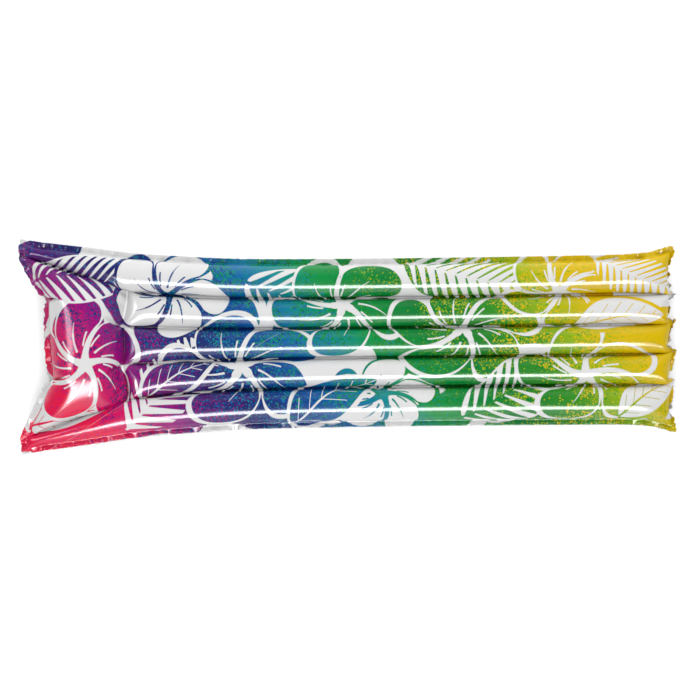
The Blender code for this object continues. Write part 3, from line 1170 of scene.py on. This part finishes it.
def roughen(shader: Node, scale: float, detail: float, strength: float, depth: float) -> Node:
    """Gives a shader fine uneven relief on Object coordinates.

    Args:
        shader: The shader.
        scale: Humps to a metre.
        detail: How many finer layers lie on the humps.
        strength: Share of the relief.
        depth: Its full depth in metres.

    Returns:
        The relief's noise, for a colour to follow.
    """
    tree = shader.id_data
    place = add_node(tree, "ShaderNodeTexCoord").outputs["Object"]
    noise = add_node(tree, "ShaderNodeTexNoise", {"Vector": place, "Scale": scale, "Detail": detail})
    bump = add_node(tree, "ShaderNodeBump", {"Height": noise, "Strength": strength, "Distance": depth})
    tree.links.new(bump.outputs["Normal"], shader.inputs["Normal"])
    return noise


@dataclass(frozen=True)
class VinylFilm:
    """Soft PVC film, calendered and glossy on the outside, welded with a fine-lined tool.

    It gives the eye sharp long highlights and a slight orange-peel with about 7 mm from hump to
    hump. Along the welds it has painted shade, which deepens the inks, and painted light, which makes the
    bare silver paler.
    """

    name: str
    cut: CutPattern = CutPattern()
    weld: str = "#A8A8A8"  # Painted shade and painted light on the weld lines: colours darker than this get darker there, paler ones lighter.
    ground: str = "#C0C0C0"
    cloud: str = "#B9B9B9"
    clouds: float = 14.0  # About 70 mm from cloud to cloud.
    cloud_stops: tuple[float, float] = (0.3, 0.7)
    ior: float = 1.45
    gloss: float = 0.21
    sheen: float = 0.32
    peel: float = 0.004
    peel_depth: float = 0.001
    peel_scale: float = 150.0
    soft: float = 0.001

    def material(self) -> Material:
        """Builds the material.

        Returns:
            The material.
        """
        values = {"Roughness": self.gloss, "IOR": self.ior, "Specular IOR Level": self.sheen}
        made, shader = start_material(self.name, values)
        tree = made.node_tree
        cut = add_node(tree, "ShaderNodeUVMap", uv_map="cut")
        centred = add_node(tree, "ShaderNodeVectorMath", {0: cut, 1: (0, 0.5, 0)}, operation="SUBTRACT")
        size = (self.cut.length, self.cut.width, 1)
        point = add_node(tree, "ShaderNodeVectorMath", {0: centred, 1: size}, operation="MULTIPLY").outputs[0]
        paint = self.paint(tree, point)
        # Painted shade and painted light along the welds: the colour is divided by the weld colour there, so
        # dark inks darken further and the pale silver lightens, standing in for the valleys' shadow and
        # reflected light.
        inputs = {0: 1.0, 6: paint, 7: linear(self.weld)}
        valley_shade_and_light = add_node(tree, "ShaderNodeMix", inputs, data_type="RGBA", blend_type="DIVIDE")
        inputs = {0: self._pressed(tree, point), 6: paint, 7: valley_shade_and_light.outputs[2]}
        pressed = add_node(tree, "ShaderNodeMix", inputs, data_type="RGBA", blend_type="MULTIPLY")
        tree.links.new(pressed.outputs[2], shader.inputs["Base Color"])
        roughen(shader, self.peel_scale, 1.0, self.peel, self.peel_depth)
        return made

    def _pressed(self, tree: NodeTree, point: NodeSocket) -> Term:
        """Finds the weld lines of the ribs and the pillow, where shade and light are painted into the colour.

        Args:
            tree: The material's tree.
            point: The place on the cut film, in metres.

        Returns:
            1 on the lines, else 0.
        """
        split = add_node(tree, "ShaderNodeSeparateXYZ", {0: point})
        along, reach = Term(split.outputs[0]), abs(Term(split.outputs[1]))
        cut, soft = self.cut, self.soft
        half = cut.seam_width / 2
        fan = (cut.pillow_seam - along).most(0.0) * cut.corner_slope
        outer = (half - abs(reach - fan - cut.outer_seam)).edge(soft)
        inner = (half - abs(reach - cut.inner_seam)).edge(soft) * (along - cut.pillow_seam).edge(soft)
        cross = (half - abs(along - cut.pillow_seam)).edge(soft) * (cut.outer_seam - reach).edge(soft)
        ends = (cut.length - cut.foot_rim - cut.seam_stop - along).edge(soft)
        return outer.most(inner).most(cross) * ends

    def paint(self, tree: NodeTree, point: NodeSocket) -> NodeSocket:
        """Paints the plain silvery ground with faint clouds.

        Args:
            tree: The material's tree.
            point: The place on the cut film, in metres; not used here.

        Returns:
            The colour.
        """
        place = add_node(tree, "ShaderNodeTexCoord").outputs["Object"]
        cloud = add_node(tree, "ShaderNodeTexNoise", {"Vector": place, "Scale": self.clouds, "Detail": 3.0})
        ramp = add_node(tree, "ShaderNodeValToRGB", {"Fac": cloud})
        stops = zip(ramp.color_ramp.elements, self.cloud_stops, (self.cloud, self.ground))
        for stop, share, colour in stops:
            stop.position, stop.color = share, linear(colour)
        return ramp.outputs["Color"]


@dataclass(frozen=True)
class PrintedFilm(VinylFilm):
    """The upper film: a translucent many-coloured print over the silvery ground."""

    tilt: float = 0.11
    head_reach: float = 0.40
    fleck: float = 0.0036
    fleck_reach: float = 0.30
    fleck_back: float = 0.09
    patches: float = 9.0  # About 110 mm from patch to patch.
    patch_from: tuple[float, float] = (0.36, 0.58)
    patch_to: tuple[float, float] = (0.95, 0.30)
    drift: float = 3.4  # About 290 mm from one bare ground to the next.
    drift_detail: float = 0.6
    drift_roughness: float = 0.4
    drift_bend: float = 0.9
    bare: float = 0.465
    bare_soft: float = 0.004
    inks: tuple[tuple[float, str], ...] = (
        (0.00, "#C4043C"), (0.08, "#AA0658"), (0.14, "#800868"), (0.20, "#46145C"), (0.26, "#181C54"),
        (0.34, "#0C3474"), (0.42, "#08568C"), (0.48, "#067478"), (0.54, "#047C38"), (0.66, "#046628"),
        (0.76, "#28781C"), (0.84, "#7C980C"), (0.92, "#BC9E02"),
    )
    stamps: tuple[Stamp, ...] = ()

    def paint(self, tree: NodeTree, point: NodeSocket) -> NodeSocket:
        """Mixes the ground and the inks by the drawn motifs.

        Args:
            tree: The material's tree.
            point: The place on the cut film, in metres.

        Returns:
            The colour.
        """
        inputs = {0: self._drawn(tree, point), 6: linear(self.ground), 7: self._coloured(tree, point)}
        return add_node(tree, "ShaderNodeMix", inputs, data_type="RGBA").outputs[2]

    def _coloured(self, tree: NodeTree, point: NodeSocket) -> NodeSocket:
        """Finds the ink at a point: a run of colours, flecked in patches with those beside it.

        Args:
            tree: The material's tree.
            point: The place on the cut film, in metres.

        Returns:
            The ink's colour.
        """
        split = add_node(tree, "ShaderNodeSeparateXYZ", {0: point})
        along, across = Term(split.outputs[0]), Term(split.outputs[1])
        head = (1 - along * (1 / self.head_reach)).held()
        share = along / self.cut.length + across * (head + 1) * (self.tilt * 2 / self.cut.width)
        inputs = {"Vector": point, "Scale": 1 / self.fleck}
        cells = add_node(tree, "ShaderNodeTexVoronoi", inputs, voronoi_dimensions="2D")
        grain = add_node(tree, "ShaderNodeSeparateColor", {0: cells.outputs["Color"]})
        inputs = {"Vector": point, "Scale": self.patches, "Detail": 1.0}
        patches = add_node(tree, "ShaderNodeTexNoise", inputs, noise_dimensions="2D")
        inputs = {"Value": patches, **dict(zip(SPANS, self.patch_from + self.patch_to))}
        chosen = Term(grain.outputs[0]).over(Term(add_node(tree, "ShaderNodeMapRange", inputs)))
        jump = Term(grain.outputs[1]) * self.fleck_reach - self.fleck_back
        ramp = add_node(tree, "ShaderNodeValToRGB", {"Fac": share + chosen * jump})
        stops = ramp.color_ramp.elements
        while len(stops) < len(self.inks):
            stops.new(0.5)
        for stop, (place, colour) in zip(stops, self.inks):
            stop.position, stop.color = place, linear(colour)
        return ramp.outputs["Color"]

    def _drawn(self, tree: NodeTree, point: NodeSocket) -> Term:
        """Draws the ink's outlines: drifting grounds, then every stamp over them.

        Args:
            tree: The material's tree.
            point: The place on the cut film, in metres.

        Returns:
            The share of ink.
        """
        inputs = {"Vector": point, "Scale": self.drift, "Detail": self.drift_detail}
        inputs |= {"Roughness": self.drift_roughness, "Distortion": self.drift_bend}
        drift = add_node(tree, "ShaderNodeTexNoise", inputs, noise_dimensions="2D")
        mask = (Term(drift) - self.bare).edge(self.bare_soft)
        motifs = (Blossom("blossom"), Frond("frond"), Leaf("leaf"))
        groups = {Kind(motif.name): motif.group() for motif in motifs}
        for stamp in self.stamps:
            spot, turn = (stamp.along, stamp.across, 0), math.radians(stamp.turn)
            inputs = {"Point": point, "Centre": spot, "Size": stamp.size, "Turn": turn}
            drawn = add_node(tree, "ShaderNodeGroup", inputs, node_tree=groups[stamp.kind])
            body, band, lines = (Term(socket) for socket in drawn.outputs)
            inked = float(stamp.inked)
            mask = mask + (1 - inked - mask) * band
            mask = mask + (abs(lines - inked) - mask) * body
        return mask


@dataclass(frozen=True)
class MouldedVinyl:
    """Soft PVC as it comes from the mould: satin, slightly translucent, faintly mottled."""

    name: str
    colour: str
    roughness: float = 0.32
    transmission: float = 0.0
    ior: float = 1.53
    subsurface: float = 0.1
    glow_depth: float = 0.002
    mottle: float = 600.0  # About 1.7 mm from spot to spot.
    shades: tuple[float, float] = (0.92, 1.04)
    relief: float = 0.06
    relief_depth: float = 0.0005

    def material(self) -> Material:
        """Builds the material.

        Returns:
            The material.
        """
        values = {
            "Roughness": self.roughness,
            "IOR": self.ior,
            "Transmission Weight": self.transmission,
            "Subsurface Weight": self.subsurface,
            "Subsurface Scale": self.glow_depth,
        }
        made, shader = start_material(self.name, values)
        tree = made.node_tree
        mottle = roughen(shader, self.mottle, 2.0, self.relief, self.relief_depth)
        low, high = self.shades
        lift = add_node(tree, "ShaderNodeMapRange", {"Value": mottle, "To Min": low, "To Max": high})
        shade = add_node(tree, "ShaderNodeHueSaturation", {"Color": linear(self.colour), "Value": lift})
        tree.links.new(shade.outputs["Color"], shader.inputs["Base Color"])
        return made


def rounded(corners: Outline, radius: float) -> list[Vector]:
    """Rounds the corners of a profile. One that starts off the axis is a closed ring.

    Args:
        corners: The profile's corners as radius and height.
        radius: How much of each side a corner takes.

    Returns:
        The profile's points. In a ring, the first comes again at the end.
    """
    made = []
    last, closed = len(corners) - 1, corners[0][0] > 0
    for place, corner in enumerate(corners):
        here = Vector(corner)
        if not closed and place in (0, last):
            made.append(here)
            continue
        before = Vector(corners[place - 1]) - here
        after = Vector(corners[place + 1 if place < last else 0]) - here
        cut = min(radius, before.length / 2, after.length / 2)
        start, end = here + before.normalized() * cut, here + after.normalized() * cut
        for share in (0.0, 0.3, 0.7, 1.0):
            made.append(start * (1 - share) ** 2 + here * (2 * share * (1 - share)) + end * share**2)
    if closed:
        made.append(made[0])
    return made


def slab(low: Spot, high: Spot, corner: float) -> Mesh:
    """Makes a flat strap between two corners of its box, with round ends and soft edges.

    Args:
        low: Lowest corner.
        high: Highest corner.
        corner: Radius of its upright edges.

    Returns:
        The mesh.
    """
    shape = bmesh.new()
    size = Vector(high) - Vector(low)
    place = Matrix.Translation((Vector(low) + Vector(high)) / 2) @ Matrix.Diagonal((*size, 1))
    bmesh.ops.create_cube(shape, size=1, matrix=place)
    upright = [edge for edge in shape.edges if abs(edge.verts[0].co.z - edge.verts[1].co.z) > size.z / 2]
    bmesh.ops.bevel(shape, geom=upright, offset=corner, segments=STRAP_SEGMENTS, affect="EDGES", profile=0.5)
    brim = [edge for edge in shape.edges if abs(edge.verts[0].co.z - edge.verts[1].co.z) < size.z / 2]
    brim = [edge for edge in brim if edge.calc_face_angle(0.0) > 1.0]
    soft = size.z * STRAP_SOFT
    bmesh.ops.bevel(shape, geom=brim, offset=soft, segments=BRIM_SEGMENTS, affect="EDGES", profile=0.5)
    return plain_mesh("slab", shape)


@dataclass
class Lathe:
    """Turns drawn profiles about Z. The rings marked as fluted get flutes, as on a cap's edge."""

    sides: int = 96
    weld: float = 1e-6
    tree: NodeTree = field(init=False)

    def __post_init__(self) -> None:
        """Builds the tree: a grid whose rows follow the profile and whose columns go round."""
        numbers = {"Sides": self.sides, "Flutes": 0, "Flute Depth": 0.0}
        self.tree, given = start_tree("turned_profile", numbers)
        tree, drawn, sides = self.tree, given["Drawn"], Term(given["Sides"])
        size = add_node(tree, "GeometryNodeAttributeDomainSize", {0: drawn})
        grid = add_node(tree, "GeometryNodeMeshGrid", {"Vertices X": size, "Vertices Y": sides + 1})
        index = Term(add_node(tree, "GeometryNodeInputIndex"))
        row = ((index + 0.5) / (sides + 1)).work("FLOOR")
        angle = (index - row * (sides + 1)) * (2 * math.pi) / sides
        place = add_node(tree, "GeometryNodeInputPosition")
        mark = add_node(tree, "GeometryNodeInputNamedAttribute", {0: "fluted"}, data_type="FLOAT")
        inputs = {0: drawn, 1: place, 2: row}
        spot = add_node(tree, "GeometryNodeSampleIndex", inputs, data_type="FLOAT_VECTOR")
        inputs = {0: drawn, 1: mark, 2: row}
        fluted = Term(add_node(tree, "GeometryNodeSampleIndex", inputs, data_type="FLOAT"))
        split = add_node(tree, "ShaderNodeSeparateXYZ", {0: spot})
        wave = (angle * Term(given["Flutes"])).work("COSINE")
        radius = Term(split.outputs[0]) + wave * (Term(given["Flute Depth"]) * fluted)
        inputs = {0: radius * angle.work("COSINE"), 1: radius * angle.work("SINE"), 2: split.outputs[2]}
        turned = add_node(tree, "ShaderNodeCombineXYZ", inputs)
        moved = add_node(tree, "GeometryNodeSetPosition", {"Geometry": grid, "Position": turned})
        merged = add_node(tree, "GeometryNodeMergeByDistance", {"Geometry": moved, "Distance": self.weld})
        finish_tree(tree, merged, given["Finish"])

    def turn(
        self,
        profile: list[Vector],
        finish: Material,
        flutes: int = 0,
        depth: float = 0.0,
        reach: float = math.inf,
    ) -> Mesh:
        """Turns a profile.

        Args:
            profile: Points as radius and height.
            finish: The material.
            flutes: How many flutes go round.
            depth: How deep they are.
            reach: Points at least this far from the axis are fluted.

        Returns:
            The turned mesh.
        """
        mesh = bpy.data.meshes.new("profile")
        edges = [(place, place + 1) for place in range(len(profile) - 1)]
        mesh.from_pydata([(spot.x, 0, spot.y) for spot in profile], edges, [])
        mark = mesh.attributes.new("fluted", "FLOAT", "POINT")
        mark.data.foreach_set("value", [float(spot.x >= reach) for spot in profile])
        values = {"Sides": self.sides, "Flutes": flutes, "Flute Depth": depth, "Finish": finish}
        return grow(self.tree, mesh, values)


@dataclass
class WeldRidges:
    """The crosswise ridges that the welding tool leaves along the flat rim.

    The real ones stand about 1.5 mm apart. They are drawn twice as coarse, so that they show.
    """

    pitch: float = 0.0030
    length: float = 0.0115
    width: float = 0.0014
    height: float = 0.0006
    unevenness: float = 0.5
    evenness: float = 0.6
    seed: int = 7
    tree: NodeTree = field(init=False)

    def __post_init__(self) -> None:
        """Builds the tree: a ridge at each step along the line, square to it."""
        numbers = {name.title(): value for name, value in vars(self).items()}
        self.tree, given = start_tree("weld_ridges", numbers)
        tree, named = self.tree, "GeometryNodeInputNamedAttribute"
        line = add_node(tree, "GeometryNodeMeshToCurve", {0: given["Drawn"]})
        inputs = {"Curve": line, "Length": given["Pitch"]}
        steps = add_node(tree, "GeometryNodeResampleCurve", inputs, mode="LENGTH")
        out = add_node(tree, named, {0: "outward"}, data_type="FLOAT_VECTOR")
        inputs = {0: out, 1: add_node(tree, "GeometryNodeInputTangent")}
        turn = add_node(tree, "FunctionNodeAxesToRotation", inputs, primary_axis="Z", secondary_axis="X")
        inputs = {2: 1 - Term(given["Unevenness"]), 3: 1.0, 8: given["Seed"]}
        uneven = Term(add_node(tree, "FunctionNodeRandomValue", inputs).outputs[1])
        even = Term(given["Evenness"])
        length = Term(given["Length"]) * (uneven * (1 - even) + even)
        inputs = {0: given["Width"], 1: length, 2: Term(given["Height"]) * uneven}
        size = add_node(tree, "ShaderNodeCombineXYZ", inputs)
        bead = add_node(tree, "GeometryNodeMeshUVSphere", {"Segments": 6, "Rings": 3, "Radius": 0.5})
        inputs = {"Points": steps, "Instance": bead, "Rotation": turn, "Scale": size}
        ridges = add_node(tree, "GeometryNodeInstanceOnPoints", inputs)
        real = add_node(tree, "GeometryNodeRealizeInstances", {0: ridges})
        cut = add_node(tree, named, {0: "cut"}, data_type="FLOAT_VECTOR")
        stored = add_node(
            tree,
            "GeometryNodeStoreNamedAttribute",
            {"Geometry": real, "Name": "cut", "Value": cut},
            data_type="FLOAT2",
            domain="CORNER",
        )
        finish_tree(tree, stored, given["Finish"])

    def build(self, mat: Mat, side: Side, name: str, finish: Material) -> Object:
        """Makes the ridges of one film.

        Args:
            mat: The blown-up mat.
            side: Which film.
            name: The piece's name.
            finish: The film's own finish, whose print runs on over the ridges.

        Returns:
            The piece.
        """
        mesh = grow(self.tree, mat.rim_path(side), {"Pitch": self.pitch, "Seed": self.seed, "Finish": finish})
        mesh.shade_smooth()
        log.info("%s: %d faces", name, len(mesh.polygons))
        return put(name, mesh)


@dataclass(frozen=True)
class Valve:
    """One push-in valve. Sizes in metres, heights from the film's outer face, out of the mat.

    Outlines are corners as radius and height. A strap is its box's two corners and the
    radius of its ends. It grows from the stem on the seat's -X side.
    """

    seat: Seat
    lathe: Lathe
    finishes: dict[str, Material]
    film: float = 0.0004
    film_gap: float = 0.00005
    ring_start: float = 0.0143
    ring_beads: int = 4
    bead_pitch: float = 0.0013
    bead_height: float = 0.00035
    bead_steps: int = 5
    skirt_top: float = -0.0018
    skirt_depth: float = 0.0080
    skirt_wall: float = 0.0006
    skirt_outer: float = 0.0122
    skirt_inner: float = 0.0063
    skirt_steps: int = 14
    skirt_fullness: float = 0.8
    soft: float = 0.00025
    crease: float = 0.7
    flange: Outline = (
        (0.0125, -0.00025), (0.0134, -0.00025), (0.0137, -0.00045),
        (0.0190, -0.00045), (0.0190, -0.0023), (0.0125, -0.0023),
    )
    stem: Outline = (
        (0.0035, -0.0021), (0.0075, -0.0021), (0.0075, -0.0037), (0.0060, -0.0041), (0.0060, -0.0106),
        (0.0064, -0.0112), (0.0060, -0.0121), (0.0057, -0.0131), (0.0035, -0.0131),
    )
    stem_soft: float = 0.0004
    lug: Strap = ((-0.0110, -0.0020, -0.0032), (-0.00475, 0.0020, -0.0022), 0.0004)
    stopper: Outline = (
        (0.0, -0.0007), (0.00343, -0.0007), (0.00403, -0.0003), (0.0065, -0.0003), (0.0065, -0.0018),
        (0.00325, -0.0018), (0.00305, -0.0047), (0.00325, -0.0055), (0.0023, -0.0071), (0.0, -0.0071),
    )
    flutes: int = 36
    flute_depth: float = 0.00012
    flute_reach: float = 0.0062
    strap: Strap = ((-0.0106, -0.0020, -0.0018), (0.0081, 0.0020, -0.0010), 0.0009)
    flap: Outline = (
        (0.0, -0.0141), (0.0024, -0.0141), (0.002976, -0.0139), (0.0048, -0.0139), (0.0048, -0.0134),
        (0.0, -0.0134),
    )
    flap_soft: float = 0.0002
    tab: Strap = ((-0.00565, -0.0016, -0.0139), (-0.0020, 0.0016, -0.0134), 0.0004)

    def build(self) -> None:
        """Makes the valve's pieces, each in its material slot, and each but the skirt on its body."""
        prefix = self.seat.name
        end = prefix.split("_")[0]
        plug, fluting = rounded(self.stopper, self.soft), (self.flutes, self.flute_depth, self.flute_reach)
        for part, slot, body, outline, strap, flutes in (
            ("weld_ring", "silver_film", "mat", self._beads(), None, ()),
            ("flange", "clear_vinyl", "mat", rounded(self.flange, self.soft), None, ()),
            ("stem", "valve_vinyl", f"{end}_stem", rounded(self.stem, self.stem_soft), self.lug, ()),
            ("stopper", "stopper_vinyl", f"{end}_stopper", plug, self.strap, fluting),
            ("flap", "clear_vinyl", f"{end}_flap", rounded(self.flap, self.flap_soft), self.tab, ()),
            ("skirt", "clear_vinyl", "", self._funnel(), None, ()),
        ):
            meshes = [self.lathe.turn(outline, self.finishes[slot], *flutes)]
            if strap:
                meshes.append(slab(*strap))
            piece = self._joined(f"{prefix}_moulded_{part}", meshes, self.finishes[slot])
            if part != "weld_ring":
                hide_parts(f"{prefix}_{part}")
            if body:
                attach(piece, body)
            else:
                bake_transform(piece)

    def _joined(self, name: str, meshes: list[Mesh], finish: Material) -> Object:
        """Joins meshes, sets them in the seat and turns their faces outwards.

        Args:
            name: The piece's name.
            meshes: Its meshes, as seen from the seat.
            finish: Its material.

        Returns:
            The piece.
        """
        shape = bmesh.new()
        for mesh in meshes:
            shape.from_mesh(mesh)
        shape.transform(self.seat.turn)
        bmesh.ops.recalc_face_normals(shape, faces=shape.faces[:])
        made = plain_mesh(name, shape)
        made.shade_smooth()
        made.set_sharp_from_angle(angle=self.crease)
        made.materials.clear()
        made.materials.append(finish)
        log.info("%s: %d faces", name, len(made.polygons))
        return put(name, made)

    def _beads(self) -> list[Vector]:
        """Draws the round beads that the welding tool presses into the film over the flange.

        Returns:
            The closed outline.
        """
        outline = [Vector((self.ring_start, -self.film / 2))]
        for step in range(self.ring_beads * self.bead_steps):
            share = step / self.bead_steps
            height = self.film_gap + self.bead_height * math.sin(math.pi * share) ** 2
            outline.append(Vector((self.ring_start + share * self.bead_pitch, height)))
        end = self.ring_start + self.ring_beads * self.bead_pitch
        return outline + [Vector((end, self.film_gap)), Vector((end, -self.film / 2)), outline[0]]

    def _funnel(self) -> list[Vector]:
        """Draws the soft skirt as a thin wall, in one shape. On the real valve it turns inside out as the
        stem comes out.

        Returns:
            The closed outline.
        """
        line = []
        for step in range(self.skirt_steps + 1):
            share = step / self.skirt_steps * math.pi / 2
            width = (self.skirt_outer - self.skirt_inner) * math.cos(share) ** self.skirt_fullness
            height = self.skirt_top - self.skirt_depth * math.sin(share)
            line.append(Vector((self.skirt_inner + width, height)))
        outline = []
        for side in (1, -1):
            for step in range(self.skirt_steps + 1)[::side]:
                ahead = line[min(step + 1, self.skirt_steps)] - line[max(step - 1, 0)]
                square = Vector((ahead.y, -ahead.x)).normalized()
                outline.append(line[step] + square * side * self.skirt_wall / 2)
        return outline + outline[:1]


@dataclass(frozen=True)
class Lamp:
    """A rectangular lamp that faces the mat. Metres and watts, and the kind of light that it leaves out."""

    name: str
    place: Spot
    size: tuple[float, float]
    power: float
    without: str

    def build(self) -> None:
        """Hangs the lamp."""
        data = bpy.data.lights.new(self.name, "AREA")
        data.shape = "RECTANGLE"
        data.size, data.size_y = self.size
        data.energy = self.power
        lamp = put(self.name, data)
        lamp.location = self.place
        lamp.rotation_euler = (-Vector(self.place)).to_track_quat("-Z", "Y").to_euler()
        setattr(lamp, self.without, False)


@dataclass(frozen=True)
class Studio:
    """A pale floor, soft light and a camera straight above the mat.

    Lamps without diffuse light give the long highlights, and those without glossy light the rest.
    """

    metres_per_pixel: float = 1.800 / 655
    centre_x: float = -0.004
    centre_y: float = -0.014
    turn: float = 0.7
    height: float = 7.05
    lens_height: float = 7.0
    sensor: float = 36.0
    floor_half: float = 6.0
    wall_from: tuple[float, float] = (-0.9, 0.9)
    wall_glow: tuple[float, float] = (0.2, 0.9)
    low_from: tuple[float, float] = (0.9, 0.2)
    room_glow: float = 0.15
    lamps: tuple[Lamp, ...] = (
        Lamp("strip", (0.0, -2.3, 2.75), (3.0, 1.20), 560, "visible_diffuse"),
        Lamp("head_strip", (-2.6, 0.0, 2.6), (0.9, 1.2), 62, "visible_diffuse"),
        Lamp("near_wall", (0.0, -3.6, 1.1), (6.0, 1.6), 80, "visible_diffuse"),
        Lamp("near", (0.0, -3.0, 2.4), (6.0, 2.0), 130, "visible_glossy"),
        Lamp("far", (0.0, 3.2, 2.0), (6.0, 2.4), 140, "visible_glossy"),
        Lamp("overhead", (0.0, 0.0, 4.5), (3.0, 3.0), 90, "visible_glossy"),
    )

    def build(self) -> None:
        """Makes the camera, the floor, the lamps and the surroundings' light."""
        self._camera()
        self._floor()
        for lamp in self.lamps:
            lamp.build()
        self._surroundings()
        bpy.context.scene.view_settings.view_transform = "Standard"

    def _surroundings(self) -> None:
        """Makes a pale room: dim overhead, and brighter towards the wall beyond the mat."""
        world = bpy.data.worlds.new("studio")
        bpy.context.scene.world = world
        world.use_nodes = True
        tree = world.node_tree
        way = add_node(tree, "ShaderNodeTexCoord").outputs["Generated"]
        split = add_node(tree, "ShaderNodeSeparateXYZ", {0: way})
        inputs = {"Value": split.outputs["Y"], **dict(zip(SPANS, self.wall_from + self.wall_glow))}
        wall = Term(add_node(tree, "ShaderNodeMapRange", inputs))
        inputs = {"Value": split.outputs["Z"], **dict(zip(SPANS, self.low_from))}
        low = Term(add_node(tree, "ShaderNodeMapRange", inputs, interpolation_type="SMOOTHSTEP"))
        back = tree.nodes["Background"]
        back.inputs["Color"].default_value = linear("#FAFAFA")
        tree.links.new((low * wall + self.room_glow).socket, back.inputs["Strength"])

    def _camera(self) -> None:
        """Sets the photograph's view: straight down, slightly turned, through a long lens."""
        data = bpy.data.cameras.new("camera")
        data.sensor_width = self.sensor
        data.lens = self.sensor * self.lens_height / (PIXELS * self.metres_per_pixel)
        camera = put("camera", data)
        camera.location = (self.centre_x, self.centre_y, self.height)
        camera.rotation_euler = (0, 0, math.radians(-self.turn))
        bpy.context.scene.camera = camera

    def _floor(self) -> None:
        """Lays a wide plane with a matt pale finish."""
        far = self.floor_half
        mesh = bpy.data.meshes.new("floor")
        mesh.from_pydata([(-far, -far, 0), (far, -far, 0), (far, far, 0), (-far, far, 0)], [], [(0, 1, 2, 3)])
        values = {"Base Color": linear("#FDFDFD"), "Roughness": 0.9, "Specular IOR Level": 0.1}
        mesh.materials.append(start_material("pale_floor", values)[0])
        put("floor", mesh)


STAMPS = (
    Stamp(Kind.LEAF, 0.020, -0.250, 0.300, -14, False),
    Stamp(Kind.BLOSSOM, 0.165, -0.050, 0.180, 12, True),
    Stamp(Kind.FROND, 0.010, 0.215, 0.340, 8, True),
    Stamp(Kind.BLOSSOM, 0.425, 0.190, 0.170, 40, False),
    Stamp(Kind.FROND, 0.300, -0.300, 0.360, -42, False),
    Stamp(Kind.BLOSSOM, 0.625, -0.100, 0.220, 5, True),
    Stamp(Kind.LEAF, 0.350, -0.190, 0.230, -30, True),
    Stamp(Kind.FROND, 0.640, 0.255, 0.380, 28, True),
    Stamp(Kind.BLOSSOM, 0.905, 0.150, 0.195, 60, True),
    Stamp(Kind.BLOSSOM, 1.010, -0.225, 0.145, 25, False),
    Stamp(Kind.LEAF, 0.760, -0.330, 0.300, -38, True),
    Stamp(Kind.BLOSSOM, 1.235, 0.045, 0.210, 18, True),
    Stamp(Kind.FROND, 1.080, 0.330, 0.340, 30, False),
    Stamp(Kind.FROND, 1.230, -0.300, 0.380, -25, True),
    Stamp(Kind.BLOSSOM, 1.500, 0.215, 0.155, 48, True),
    Stamp(Kind.BLOSSOM, 1.570, -0.140, 0.190, 8, True),
    Stamp(Kind.LEAF, 1.540, 0.060, 0.250, -12, False),
    Stamp(Kind.FROND, 1.600, 0.330, 0.250, 42, False),
    Stamp(Kind.LEAF, 1.660, -0.300, 0.210, -34, False),
)


def main() -> None:
    """Builds the dressed mat and its studio."""
    logging.basicConfig(level=logging.INFO, format="%(name)s: %(message)s")
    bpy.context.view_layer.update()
    Studio().build()
    cut = CutPattern()
    inflation = Inflation()
    seats = (
        Seat.at("head_valve", (-0.79735, -0.09561, 0.0169), (-0.57101, 0.08162, -0.81687)),
        Seat.at("foot_valve", (0.839, 0.0, 0.01475), (0.27517, 0.0, -0.96139)),
    )
    mat = Mat(cut, inflation, seats)
    mat.blow_up()
    finishes = {
        "printed_film": PrintedFilm("printed_film", stamps=STAMPS).material(),
        "silver_film": VinylFilm("silver_film").material(),
        "clear_vinyl": MouldedVinyl("clear_moulded_vinyl", "#D8DDE2", 0.28, 0.35).material(),
        "valve_vinyl": MouldedVinyl("white_moulded_vinyl", "#F0F0F2").material(),
        "stopper_vinyl": MouldedVinyl("blue_moulded_vinyl", "#3F77AE").material(),
    }
    films = ((Side.TOP, "printed_film", "top_sheet"), (Side.BOTTOM, "silver_film", "bottom_sheet"))
    for side, slot, node in films:
        piece = mat.film(side, f"{slot}_{node}", finishes[slot])
        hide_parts(node)
        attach(piece, "mat")
    ridges = WeldRidges()
    for side, slot, _ in films:
        piece = ridges.build(mat, side, f"rim_weld_{side.name.lower()}", finishes[slot])
        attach(piece, "mat")
    lathe = Lathe()
    for seat in seats:
        Valve(seat, lathe, finishes).build()


if __name__ == "__main__":
    main()
